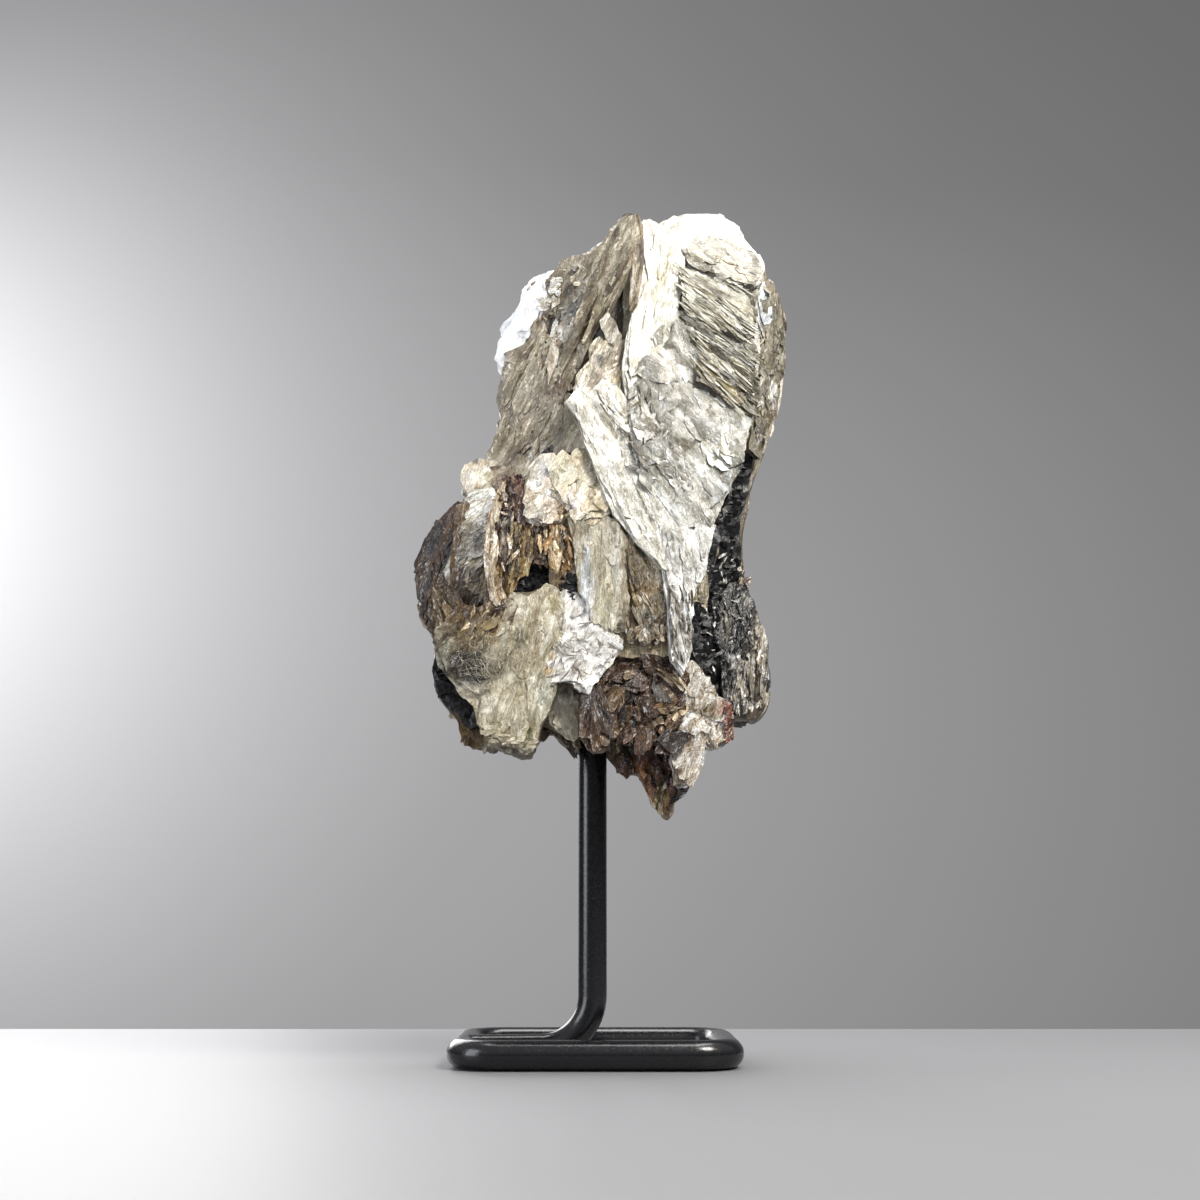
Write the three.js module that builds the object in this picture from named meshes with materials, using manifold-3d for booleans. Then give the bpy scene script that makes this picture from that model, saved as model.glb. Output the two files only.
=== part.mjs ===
// A mica specimen fixed on a bent-rod stand. Millimetres, +Z up, the front faces -Y.
// The stand is one round rod: a rounded rectangular loop on the table, a bar to the middle of the
// loop and a post. The specimen is one grown piece: books, plates and fans of mica round a solid
// heart, with a blind hole in its underside that takes the top of the post.
import * as THREE from "three";
import { mergeVertices } from "three/addons/utils/BufferGeometryUtils.js";
import Module from "manifold-3d";

const wasm = await Module();
wasm.setup();

// Stand
const ROD_DIAMETER = 8;
const ROD_SIDES = 16;
const LOOP_WIDTH = 80; // over the rod, along X
const LOOP_DEPTH = 60; // over the rod, along Y
const LOOP_CORNER = 10; // centreline radius of the loop's corners
const POST_X = -0.8;
const POST_BEND = 14.4; // centreline radius of the bend at the foot of the post
const POST_TOP = 112;
const BAR_FRONT_SHIFT = 5; // the bar meets the side of the loop this far in front of the middle
const LOOP_OVERLAP = 1; // how far each half of the loop runs past the middle, so that they join
const LOOP_STEPS = 34; // along each half of the loop
const POST_STEPS = 40;

// Specimen
const HOLE_RADIUS = 4.7;
const HOLE_SIDES = 24;
const HOLE_END = POST_TOP + 1;
const RING_POINTS = 14;
const RING_SQUARENESS = 2.6; // 2 is an ellipse, more is squarer
const RING_ROUGHNESS = 0.05; // how far a ring's points stray, as a share of its half size

// A plate's depth is given on the line x = 0, z = LEVEL.
const LEVEL = 160;

// Outlines of the front plates are drawn on the plane y = DRAWING_Y as seen from EYE, and each is
// carried along the lines of sight to the plate's own depth.
const EYE = new THREE.Vector3(1.3, -510, 42.4);
const DRAWING_Y = -12;

// ---- solids ----------------------------------------------------------------------------------

// A closed three.js geometry as a manifold solid.
function solid(geometry) {
  const bare = geometry.clone();
  bare.deleteAttribute("normal");
  bare.deleteAttribute("uv");
  const merged = mergeVertices(bare, 1e-4);
  return new wasm.Manifold(
    new wasm.Mesh({
      numProp: 3,
      vertProperties: new Float32Array(merged.attributes.position.array),
      triVerts: new Uint32Array(merged.index.array),
    }),
  );
}

// A manifold solid as a named mesh with its own material.
function meshOf(name, made, material) {
  const { vertProperties, triVerts } = made.getMesh();
  const geometry = new THREE.BufferGeometry();
  geometry.setAttribute("position", new THREE.BufferAttribute(vertProperties, 3));
  geometry.setIndex(new THREE.BufferAttribute(triVerts, 1));
  const faceted = geometry.toNonIndexed();
  faceted.computeVertexNormals();
  const mesh = new THREE.Mesh(faceted, material);
  mesh.name = name;
  return mesh;
}

// ---- stand -----------------------------------------------------------------------------------

// The rod's section, with a flat side down so that the loop rests on a real face.
function rodSection() {
  const corner = ROD_DIAMETER / 2 / Math.cos(Math.PI / ROD_SIDES);
  const points = [];
  for (let i = 0; i < ROD_SIDES; i++) {
    const angle = ((i + 0.5) * 2 * Math.PI) / ROD_SIDES;
    points.push(new THREE.Vector2(corner * Math.cos(angle), corner * Math.sin(angle)));
  }
  return new THREE.Shape(points);
}

// A quarter bend from one point to another round a corner point.
class Bend extends THREE.Curve {
  constructor(from, corner, to) {
    super();
    this.from = from;
    this.corner = corner;
    this.to = to;
  }
  getPoint(t, target = new THREE.Vector3()) {
    const angle = (t * Math.PI) / 2;
    const inward = new THREE.Vector3().addVectors(this.from, this.to).sub(this.corner);
    const arm = new THREE.Vector3().subVectors(this.from, inward);
    const reach = new THREE.Vector3().subVectors(this.to, inward);
    return target
      .copy(inward)
      .addScaledVector(arm, Math.cos(angle))
      .addScaledVector(reach, Math.sin(angle));
  }
}

// A rod along a list of corner points, each corner but the ends rounded with its own radius.
function rodAlong(corners, radii, steps) {
  const path = new THREE.CurvePath();
  let last = corners[0];
  for (let i = 1; i < corners.length - 1; i++) {
    const back = new THREE.Vector3().subVectors(corners[i - 1], corners[i]).setLength(radii[i - 1]);
    const on = new THREE.Vector3().subVectors(corners[i + 1], corners[i]).setLength(radii[i - 1]);
    const from = new THREE.Vector3().addVectors(corners[i], back);
    const to = new THREE.Vector3().addVectors(corners[i], on);
    path.add(new THREE.LineCurve3(last, from));
    path.add(new Bend(from, corners[i], to));
    last = to;
  }
  path.add(new THREE.LineCurve3(last, corners[corners.length - 1]));
  const options = { steps, bevelEnabled: false, extrudePath: path };
  return solid(new THREE.ExtrudeGeometry(rodSection(), options));
}

function makeStand() {
  const x = LOOP_WIDTH / 2 - ROD_DIAMETER / 2;
  const y = LOOP_DEPTH / 2 - ROD_DIAMETER / 2;
  const z = ROD_DIAMETER / 2;
  const at = (px, py, pz = z) => new THREE.Vector3(px, py, pz);
  const half = (side) =>
    rodAlong(
      [
        at(-side * LOOP_OVERLAP, -y),
        at(side * x, -y),
        at(side * x, y),
        at(-side * LOOP_OVERLAP, y),
      ],
      [LOOP_CORNER, LOOP_CORNER],
      LOOP_STEPS,
    );
  const post = rodAlong(
    [at(-x, -BAR_FRONT_SHIFT), at(POST_X, 0), at(POST_X, 0, POST_TOP)],
    [POST_BEND],
    POST_STEPS,
  );
  return half(1).add(half(-1)).add(post);
}

// ---- specimen --------------------------------------------------------------------------------

// The heart, ring by ring from the bottom: height, then the left, right, front and back limits.
const RINGS = [
  [80, 8, 24, -10, 4],
  [88, 0, 31, -14, 12],
  [96, -31, 36, -17, 18],
  [106, -38, 41, -20, 22],
  [118, -40, 42, -21, 24],
  [132, -44, 40, -20, 25],
  [146, -40, 38, -20, 26],
  [160, -31, 40, -21, 26],
  [174, -26, 45, -21, 25],
  [188, -25, 49, -19, 24],
  [202, -24, 52, -16, 23],
  [216, -20, 52, -14, 21],
  [228, -11, 49, -12, 18],
  [238, 2, 43, -9, 14],
  [244, 14, 37, -5, 9],
];

// A steady scatter between -1 and 1 for point i of ring j.
const scatter = (i, j) => Math.sin(12.9898 * i + 78.233 * j + 1.7) * Math.cos(4.1 * i - 2.3 * j);

function makeHeart() {
  const vertices = [];
  const triangles = [];
  const power = 2 / RING_SQUARENESS;
  RINGS.forEach(([z, left, right, front, back], j) => {
    for (let i = 0; i < RING_POINTS; i++) {
      const angle = (i * 2 * Math.PI) / RING_POINTS;
      const stray = 1 + RING_ROUGHNESS * scatter(i, j);
      const across = Math.sign(Math.cos(angle)) * Math.abs(Math.cos(angle)) ** power * stray;
      const deep = Math.sign(Math.sin(angle)) * Math.abs(Math.sin(angle)) ** power * stray;
      vertices.push(
        (left + right) / 2 + (across * (right - left)) / 2,
        (front + back) / 2 + (deep * (back - front)) / 2,
        z,
      );
    }
  });
  const index = (i, j) => j * RING_POINTS + (i % RING_POINTS);
  for (let j = 0; j < RINGS.length - 1; j++) {
    for (let i = 0; i < RING_POINTS; i++) {
      triangles.push(index(i, j), index(i + 1, j), index(i + 1, j + 1));
      triangles.push(index(i, j), index(i + 1, j + 1), index(i, j + 1));
    }
  }
  for (let i = 1; i < RING_POINTS - 1; i++) {
    triangles.push(index(0, 0), index(i + 1, 0), index(i, 0));
    const top = RINGS.length - 1;
    triangles.push(index(0, top), index(i, top), index(i + 1, top));
  }
  const geometry = new THREE.BufferGeometry();
  geometry.setAttribute("position", new THREE.Float32BufferAttribute(vertices, 3));
  geometry.setIndex(triangles);
  return solid(geometry);
}

// Each front plate: depth of its face where x = 0 and z = LEVEL, how much the face goes towards +Y
// per mm to the right and per mm upwards, its thickness front to back, and its drawn outline (x, z).
const FRONT_PLATES = {
  greyFace: {
    y: -27, right: -0.6, up: 0.2, thick: 18,
    outline: [
      [13, 242], [9, 244], [4, 237], [-1, 232], [-7, 230], [-12, 226], [-15, 219], [-20, 210],
      [-24, 201], [-27, 191], [-28, 185], [-27, 179], [-29, 172], [-32, 166], [-26, 163],
      [-18, 170], [-10, 186], [-4, 197], [3, 212], [9, 226], [12, 226],
    ],
  },
  ridgeLath: {
    y: -28.5, right: -0.6, up: 0.19, thick: 14,
    outline: [
      [13, 241], [9, 243], [5, 236], [1, 225], [-3, 212], [-8, 200], [-13, 188], [-17, 178],
      [-10, 186], [-4, 197], [3, 212], [9, 226],
    ],
  },
  paleBackPlate: {
    y: 6, right: 0.2, up: 0, thick: 9,
    outline: [[-12, 227], [-20, 223], [-21, 217], [-26, 209], [-28, 202], [-27, 195], [-14, 200]],
  },
  tallBlade: {
    y: -25, right: 0.15, up: 0.11, thick: 16,
    outline: [
      [13, 240], [17, 242], [20, 240], [26, 242], [25, 222], [23, 210], [18, 198], [10, 190],
      [8, 196], [8, 208], [11, 220],
    ],
  },
  cap: {
    y: -35, right: 0.22, up: 0.2, thick: 24,
    outline: [
      [20, 240], [26, 242.5], [36, 242.5], [41, 239], [45, 234], [50, 227], [47, 221],
      [38, 220], [30, 223], [24, 228],
    ],
  },
  chevronBase: {
    y: -31, right: 0.3, up: 0.12, thick: 20,
    outline: [
      [25, 228], [47, 222], [47, 200], [46, 190], [42, 184], [36, 187], [29, 193], [24, 210],
    ],
  },
  rightRim: {
    y: -46, right: 0.8, up: 0.02, thick: 20,
    outline: [
      [49, 228], [53, 218], [55, 210], [54.5, 203], [53, 191], [51, 182], [47, 169],
      [43, 172], [45, 182], [46, 200], [46, 220],
    ],
  },
  middleFace: {
    y: -29, right: 0.22, up: 0.1, thick: 16,
    outline: [
      [12, 194], [25, 198], [34, 192], [43, 184], [44, 178], [40, 168], [37, 160], [36, 151],
      [30, 147], [20, 150], [8, 162], [2, 180],
    ],
  },
  longBlade: {
    y: -28, right: 0.12, up: 0.06, thick: 12,
    outline: [
      [-9, 186], [-4, 189], [3, 193], [9, 190], [12, 178], [14, 167], [19, 158], [25, 150],
      [28, 140], [20, 136], [12, 144], [5, 153], [0, 165], [-3, 174],
    ],
  },
  brightStreak: {
    y: -31, right: 0.24, up: 0.02, thick: 12,
    outline: [
      [18, 150], [35, 149], [36, 142], [31, 134], [27, 126], [27, 113], [24, 107], [21, 112],
      [21, 125], [19, 138],
    ],
  },
  blackBand: {
    y: -38, right: 0.7, up: 0, thick: 20,
    outline: [
      [45, 177], [46, 170], [44, 160], [41, 151], [41.5, 143], [42, 136], [45, 126], [48, 117],
      [48.5, 106], [45, 99], [38, 96], [31, 106], [28, 118], [28, 126], [31, 135], [34, 145],
      [37, 153], [40, 168],
    ],
  },
  creamLobeLeft: {
    y: -26, right: 0, up: 0.1, thick: 9,
    outline: [
      [-21, 158], [-20, 165], [-17, 169], [-12, 170], [-8, 166], [-6, 158], [-9, 151], [-20, 151],
    ],
  },
  creamLobeRight: {
    y: -24, right: 0.1, up: 0.1, thick: 8,
    outline: [[-9, 170], [-5, 173], [-1, 171], [1, 164], [2, 156], [1, 151], [-6, 150], [-10, 160]],
  },
  knob: {
    y: -8, right: 0.05, up: 0, thick: 18,
    outline: [[-38, 163], [-37, 167], [-33, 169], [-28, 168], [-25, 163], [-28, 158], [-36, 157]],
  },
  shoulderBook: {
    y: -30, right: -0.35, up: 0.12, thick: 14,
    outline: [[-40, 153], [-34, 160], [-29, 160.5], [-27, 156], [-29, 148], [-30, 142], [-40, 140]],
  },
  outerBrownBook: {
    y: -38, right: -0.7, up: 0.05, thick: 22,
    outline: [
      [-39, 157], [-44, 151], [-49, 143], [-51, 137], [-50.5, 130], [-49, 124], [-45, 118],
      [-37, 116], [-36, 130], [-39, 146],
    ],
  },
  middleLeftBook: {
    y: -28, right: -0.25, up: -0.02, thick: 14,
    outline: [[-42, 137], [-38, 142], [-30, 143], [-28, 133], [-31, 125], [-39, 125]],
  },
  standingLaths: {
    y: -24, right: 0, up: 0.04, thick: 12,
    outline: [
      [-29, 155], [-25, 163], [-21, 163], [-19, 152], [-16, 139], [-21, 130], [-28, 126],
      [-31, 132], [-30, 145],
    ],
  },
  innerLaths: {
    y: -23, right: 0, up: 0.03, thick: 12,
    outline: [[-20, 152], [-5, 152], [-5, 138], [-9, 131], [-17, 136]],
  },
  blackGrainLeft: {
    y: -24, right: 0, up: 0, thick: 10,
    outline: [[-24, 131], [-20, 136], [-15, 138], [-13, 133], [-17, 129], [-21, 127.5]],
  },
  tanPlate: {
    y: -27, right: 0.05, up: 0.02, thick: 12,
    outline: [
      [-8, 152], [5, 152], [8, 146], [9, 128], [8, 121], [4, 119], [0, 117.5], [-2, 121], [-5, 132],
    ],
  },
  brownFan: {
    y: -27, right: 0.14, up: 0.02, thick: 12,
    outline: [[7, 150], [14, 144], [20.5, 136], [21, 127], [19, 119], [11, 116], [8, 126]],
  },
  greatFan: {
    y: -31, right: -0.06, up: -0.02, thick: 16,
    outline: [
      [-23, 131], [-13, 133], [-9, 127], [-10, 112], [-12, 99], [-15, 92], [-16, 86.5], [-18, 83.5],
      [-25, 84.5], [-30, 87], [-33, 95], [-34, 101], [-42, 107], [-44.5, 114], [-41, 121],
    ],
  },
  blackFlank: {
    y: -14, right: -0.1, up: 0, thick: 20,
    outline: [
      [-44, 115], [-45.5, 109], [-44, 102], [-41, 98], [-37, 97], [-34, 92], [-31, 98], [-38, 112],
    ],
  },
  brownSkirt: {
    y: -5, right: 0.1, up: 0, thick: 14,
    outline: [[-38, 100], [-38, 92], [-36, 86], [-32, 86], [-28, 85], [-24, 90], [-26, 104]],
  },
  foil: {
    y: -25, right: 0.05, up: 0.02, thick: 10,
    outline: [
      [-10, 129], [-4, 128], [-1, 119], [6, 116], [7, 112], [3, 108], [-3, 101], [-11, 105],
    ],
  },
  brownCluster: {
    y: -24, right: 0.1, up: 0, thick: 14,
    outline: [
      [5, 113], [11, 118], [16, 113], [23, 105], [24, 95], [18, 89], [10, 89], [4, 93], [-4, 99],
      [2, 108],
    ],
  },
  roundedFlake: {
    y: -24, right: 0.05, up: 0.05, thick: 10,
    outline: [[-5, 96], [0, 100], [5, 94], [5, 88], [3, 85.5], [-0.5, 84.5], [-3, 88]],
  },
  greyFlake: {
    y: -19, right: 0.1, up: 0, thick: 10,
    outline: [[-12, 100], [-8, 104], [-3, 99], [-4, 92], [-7, 88.5], [-11, 92]],
  },
  brownTie: {
    y: -4, right: 0, up: 0, thick: 10,
    outline: [[-18, 96], [-8, 98], [-4, 90], [-5, 83], [-9, 87], [-13, 90], [-16, 87]],
  },
  creamFoot: {
    y: -26, right: 0.24, up: 0, thick: 14,
    outline: [
      [23, 107], [29, 111], [32, 103], [36, 100], [38.5, 94], [38, 88], [34, 86], [31, 87],
      [30, 80], [27, 76], [22, 77], [21, 90],
    ],
  },
  smallShard: {
    y: -9, right: 0, up: 0, thick: 9,
    outline: [[4, 92], [15, 92], [13, 82], [9.5, 77.5], [6, 80], [4, 85]],
  },
  tipShard: {
    y: -12, right: 0.1, up: 0, thick: 11,
    outline: [[11, 80], [13, 90], [24, 90], [26, 78], [22, 73], [19.5, 68], [17, 68], [14, 74]],
  },
  lowerRightPlate: {
    y: -30, right: 0.6, up: 0, thick: 16,
    outline: [[36, 112], [48, 114], [48.5, 100], [44, 93.5], [38, 94], [35, 99]],
  },
};

// Each back plate: depth of its face where x = 0 and z = LEVEL, how much the face goes towards +Y
// per mm to the right and per mm upwards, its thickness, and its outline (x, z) at its real size.
const BACK_PLATES = {
  broadLeaf: {
    y: 27, right: 0.12, up: -0.02, thick: 12,
    outline: [
      [-24, 178], [-26, 196], [-20, 214], [-8, 230], [6, 238], [14, 228], [12, 200], [6, 176],
      [-8, 166],
    ],
  },
  rightLeaf: {
    y: 26, right: -0.1, up: -0.02, thick: 12,
    outline: [
      [10, 236], [26, 244], [40, 238], [50, 224], [52, 204], [46, 184], [34, 174], [16, 178],
    ],
  },
  crossLath: {
    y: 26, right: -0.04, up: 0.02, thick: 10,
    outline: [[-18, 158], [0, 172], [26, 192], [40, 196], [44, 186], [22, 168], [-2, 152]],
  },
  waistPlate: {
    y: 28, right: -0.05, up: 0.04, thick: 12,
    outline: [[-36, 150], [-24, 168], [6, 176], [30, 172], [40, 156], [36, 142], [4, 136], [-26, 138]],
  },
  lowLeftLeaf: {
    y: 26, right: 0.1, up: 0.08, thick: 14,
    outline: [
      [-46, 132], [-40, 146], [-22, 150], [-6, 138], [-4, 116], [-14, 98], [-30, 92], [-41, 104],
    ],
  },
  lowRightLeaf: {
    y: 24, right: -0.12, up: 0.06, thick: 14,
    outline: [
      [-4, 132], [10, 146], [30, 144], [42, 130], [45, 112], [38, 97], [20, 90], [4, 98],
    ],
  },
  lowTip: {
    y: 12, right: -0.1, up: 0.1, thick: 10,
    outline: [[6, 104], [28, 104], [32, 90], [24, 80], [12, 82], [4, 92]],
  },
  topLath: {
    y: 21, right: 0.05, up: -0.1, thick: 8,
    outline: [[2, 212], [8, 236], [20, 245], [34, 243], [30, 222], [18, 206]],
  },
};

// Carries a drawn point along its line of sight to a leaning plane.
function onPlane([x, z], { y, right, up }) {
  const sight = new THREE.Vector3(x, DRAWING_Y, z).sub(EYE);
  const reach =
    (y - EYE.y + right * EYE.x + up * (EYE.z - LEVEL)) /
    (sight.y - right * sight.x - up * sight.z);
  const placed = EYE.clone().addScaledVector(sight, reach);
  return [placed.x, placed.z];
}

// A plate: an outline (x, z) extruded front to back, then sheared on to its leaning plane. Its
// rear face is at depth y where x = 0 and z = LEVEL, and its body reaches from there towards -Y.
function makePlate(outline, { right, up, thick }, y) {
  const shape = new THREE.Shape(outline.map(([x, z]) => new THREE.Vector2(x, z)));
  const geometry = new THREE.ExtrudeGeometry(shape, { depth: thick, bevelEnabled: false });
  const lean = new THREE.Matrix4().set(
    1, 0, 0, 0,
    right, up, -1, y - up * LEVEL,
    0, 1, 0, 0,
    0, 0, 0, 1,
  );
  return solid(geometry.applyMatrix4(lean));
}

// The outer skin of a joined body, so that no pocket stays sealed between its plates.
function withoutPockets(made) {
  return made.decompose().reduce((kept, skin) => (skin.volume() > kept.volume() ? skin : kept));
}

function makeSpecimen() {
  let made = makeHeart();
  for (const plate of Object.values(FRONT_PLATES)) {
    const outline = plate.outline.map((point) => onPlane(point, plate));
    made = made.add(makePlate(outline, plate, plate.y + plate.thick));
  }
  for (const plate of Object.values(BACK_PLATES)) {
    made = made.add(makePlate(plate.outline, plate, plate.y));
  }
  const hole = new THREE.CylinderGeometry(HOLE_RADIUS, HOLE_RADIUS, HOLE_END, HOLE_SIDES);
  hole.rotateX(Math.PI / 2);
  hole.translate(POST_X, 0, HOLE_END / 2);
  return withoutPockets(made).subtract(solid(hole));
}

// ---- object ----------------------------------------------------------------------------------

const blackCoat = new THREE.MeshStandardMaterial({ color: 0x14161a, roughness: 0.3, metalness: 0 });
const mica = new THREE.MeshStandardMaterial({ color: 0xcfc8b8, roughness: 0.4, metalness: 0 });

const object = new THREE.Group();
object.add(meshOf("rod_stand", makeStand(), blackCoat));
object.add(meshOf("mica_specimen", makeSpecimen(), mica));

// The origin is under the middle of the object's box.
const middle = new THREE.Box3().setFromObject(object).getCenter(new THREE.Vector3());
object.position.set(-middle.x, -middle.y, 0);

export default object;
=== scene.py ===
import math
import random

import bpy
from mathutils import Matrix, Vector, geometry, noise
from mathutils.bvhtree import BVHTree


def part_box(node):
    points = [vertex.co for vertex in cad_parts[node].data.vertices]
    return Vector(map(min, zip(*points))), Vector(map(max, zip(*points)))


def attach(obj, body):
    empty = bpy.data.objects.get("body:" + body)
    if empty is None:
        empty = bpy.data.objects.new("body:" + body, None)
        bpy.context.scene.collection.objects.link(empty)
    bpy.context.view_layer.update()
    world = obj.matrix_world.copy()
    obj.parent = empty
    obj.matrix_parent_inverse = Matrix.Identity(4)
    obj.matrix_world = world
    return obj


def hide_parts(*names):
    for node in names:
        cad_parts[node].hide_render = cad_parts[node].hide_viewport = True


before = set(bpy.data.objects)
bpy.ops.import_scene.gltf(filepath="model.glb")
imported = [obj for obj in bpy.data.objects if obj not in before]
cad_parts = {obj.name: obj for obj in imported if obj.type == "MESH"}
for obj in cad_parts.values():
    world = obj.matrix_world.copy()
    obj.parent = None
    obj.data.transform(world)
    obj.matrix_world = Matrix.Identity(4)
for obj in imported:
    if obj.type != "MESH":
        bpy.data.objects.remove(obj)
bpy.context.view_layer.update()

MM = 0.001
UP = Vector((0, 0, 1))

# The stand's middle is the origin of every length below, in millimetres.
STAND_LOW, STAND_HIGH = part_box("rod_stand")
MIDDLE = Vector(((STAND_LOW.x + STAND_HIGH.x) / 2, (STAND_LOW.y + STAND_HIGH.y) / 2, 0))
ROD_RADIUS = 4.0
LOOP_X = (STAND_HIGH.x - STAND_LOW.x) / 2 / MM - ROD_RADIUS
LOOP_Y = (STAND_HIGH.y - STAND_LOW.y) / 2 / MM - ROD_RADIUS
POST_TOP = STAND_HIGH.z / MM
POST_X = -0.8
POST_BEND = 14.4
LOOP_CORNER = 10.0
BAR_FRONT_SHIFT = 5.0

# Front sheets are drawn on the plane y = DRAWING_Y as seen from EYE, then laid on leaning planes.
EYE = Vector((1.3, -510.0, 42.4))
EYE_PITCH = math.radians(9.77)
LENS = 53.6
DRAWING_Y = -12.0
LEVEL = 160.0


def place(point):
    """A point in millimetres from the stand's middle, in metres in the object's frame."""
    return MIDDLE + Vector(point) * MM


def deselect():
    bpy.ops.object.select_all(action="DESELECT")


def pick(made):
    """Selects one object alone and makes it active."""
    deselect()
    made.select_set(True)
    bpy.context.view_layer.objects.active = made


def add_object(name, data):
    made = bpy.data.objects.new(name, data)
    bpy.context.scene.collection.objects.link(made)
    return made


def average(points):
    return sum(points, Vector((0, 0))) / len(points)


def heading(degrees):
    """The directions along and across a grain that runs at an angle."""
    turn = math.radians(degrees)
    along = Vector((math.cos(turn), math.sin(turn)))
    return along, Vector((-along.y, along.x))


def linear(code):
    """A #rrggbb colour as linear r, g, b, 1."""
    channels = [int(code[i:i + 2], 16) / 255 for i in (1, 3, 5)]
    return [c / 12.92 if c <= 0.04045 else ((c + 0.055) / 1.055) ** 2.4 for c in channels] + [1.0]


# ---- camera, light and stage ------------------------------------------------------------------


def make_camera():
    data = bpy.data.cameras.new("camera")
    data.lens = LENS
    data.sensor_width = 36
    camera = add_object("camera", data)
    camera.location = place(EYE)
    camera.rotation_euler = (math.pi / 2 + EYE_PITCH, 0, 0)
    bpy.context.scene.camera = camera


def area_light(name, at, aim, size, power, colour="#ffffff"):
    data = bpy.data.lights.new(name, "AREA")
    data.shape = "RECTANGLE"
    data.size, data.size_y = size
    data.energy = power
    data.color = linear(colour)[:3]
    lamp = add_object(name, data)
    lamp.location = at
    lamp.rotation_euler = (Vector(aim) - Vector(at)).to_track_quat("-Z", "Y").to_euler()


def make_lights():
    heart = (0, 0, 0.16)
    area_light("key", (0.34, -0.36, 0.58), heart, (0.24, 0.24), 7.0, "#fffaf2")
    area_light("overhead", (0.05, 0.10, 0.95), heart, (0.6, 0.5), 9.0)
    area_light("left_fill", (-0.9, -0.5, 0.35), heart, (0.5, 0.8), 7.0, "#f4f7ff")
    area_light("back_fill", (-0.5, 0.9, 0.5), heart, (0.6, 0.6), 6.0)
    area_light("wall_wash", (-0.85, 0.85, 0.45), (-0.5, 1.25, 0.4), (0.3, 0.5), 7.5)
    world = bpy.data.worlds.new("room")
    world.use_nodes = True
    tree = world.node_tree
    direction = add_node(tree, "ShaderNodeTexCoord").outputs["Generated"]
    height = add_node(tree, "ShaderNodeSeparateXYZ", {}, {"Vector": direction}).outputs["Z"]
    sky = ramp(tree, height, [(0.0, "#6c6c6b"), (0.12, "#868685"), (0.5, "#f2f2f0")])
    feed(tree, tree.nodes["Background"], {"Color": sky, "Strength": 0.6})
    bpy.context.scene.world = world


def make_board(name, shape, material):
    """A one-metre square, moved, turned and stretched to a piece of the stage."""
    bpy.ops.mesh.primitive_plane_add(size=1, location=(0, 0, 0))
    board = bpy.context.object
    board.name = name
    board.data.transform(shape)
    board.data.materials.append(material)
    return board


def make_stage():
    deselect()
    lying = Matrix.Translation((0, -0.38, 0)) @ Matrix.Diagonal((3.2, 1.04, 1, 1))
    floor = make_board("floor", lying, matt_board("pale_table_paint", "#77777a", 0.5))
    upright = Matrix.Translation((0, 1.25, 0.6)) @ Matrix.Rotation(math.pi / 2, 4, "X")
    upright = upright @ Matrix.Diagonal((5, 3, 1, 1))
    wall = make_board("backdrop", upright, matt_board("grey_wall_paint", "#9c9c9e", 0.9))


# ---- materials --------------------------------------------------------------------------------

MICA_IOR = 1.58
TOURMALINE_IOR = 1.63
COATING_IOR = 1.5


def feed(tree, node, inputs):
    """Sets a node's inputs to values, or links them to sockets."""
    for key, value in inputs.items():
        if isinstance(value, bpy.types.NodeSocket):
            tree.links.new(value, node.inputs[key])
        else:
            node.inputs[key].default_value = value


def add_node(tree, kind, settings=None, inputs=None):
    """A node with its properties, and its inputs set to values or linked to sockets."""
    node = tree.nodes.new(kind)
    for key, value in (settings or {}).items():
        setattr(node, key, value)
    feed(tree, node, inputs or {})
    return node


def new_material(name):
    material = bpy.data.materials.new(name)
    material.use_nodes = True
    return material, material.node_tree, material.node_tree.nodes["Principled BSDF"]


def ramp(tree, fac, stops):
    """A colour ramp from (position, #rrggbb) stops."""
    node = add_node(tree, "ShaderNodeValToRGB", {}, {"Fac": fac})
    elements = node.color_ramp.elements
    while len(elements) < len(stops):
        elements.new(0.5)
    for element, (position, code) in zip(elements, stops):
        element.position = position
        element.color = linear(code)
    return node.outputs["Color"]


def specks(tree, scale, detail=2.0):
    """Noise right through a solid, with this many blotches to the metre."""
    where = add_node(tree, "ShaderNodeTexCoord").outputs["Object"]
    inputs = {"Vector": where, "Scale": scale, "Detail": detail}
    return add_node(tree, "ShaderNodeTexNoise", {}, inputs).outputs["Fac"]


def bumped(tree, height, strength, depth, **more):
    """The normal of a relief that is a few tenths of a millimetre deep."""
    inputs = {"Height": height, "Strength": strength, "Distance": depth * MM, **more}
    return add_node(tree, "ShaderNodeBump", {}, inputs).outputs["Normal"]


def mapped(tree, value, low, high, to_low, to_high):
    inputs = {"Value": value, "From Min": low, "From Max": high, "To Min": to_low, "To Max": to_high}
    return add_node(tree, "ShaderNodeMapRange", {}, inputs).outputs["Result"]


def arithmetic(tree, operation, first, second):
    return add_node(tree, "ShaderNodeMath", {"operation": operation}, {0: first, 1: second}).outputs["Value"]


def vectors(tree, operation, *inputs):
    node = add_node(tree, "ShaderNodeVectorMath", {"operation": operation}, dict(enumerate(inputs)))
    return node.outputs["Vector"]


def channels(tree, colour):
    return add_node(tree, "ShaderNodeSeparateColor", {}, {"Color": colour}).outputs


def blend(tree, fac, first, second):
    node = add_node(tree, "ShaderNodeMix", {"data_type": "RGBA"}, {0: fac, 6: first, 7: second})
    return node.outputs[2]


def stretched(tree, uv, along, across):
    """Coordinates in which one unit is along by across millimetres."""
    return add_node(tree, "ShaderNodeMapping", {}, {
        "Vector": uv, "Scale": (1 / (along * MM), 1 / (across * MM), 1.0)}).outputs["Vector"]


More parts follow.
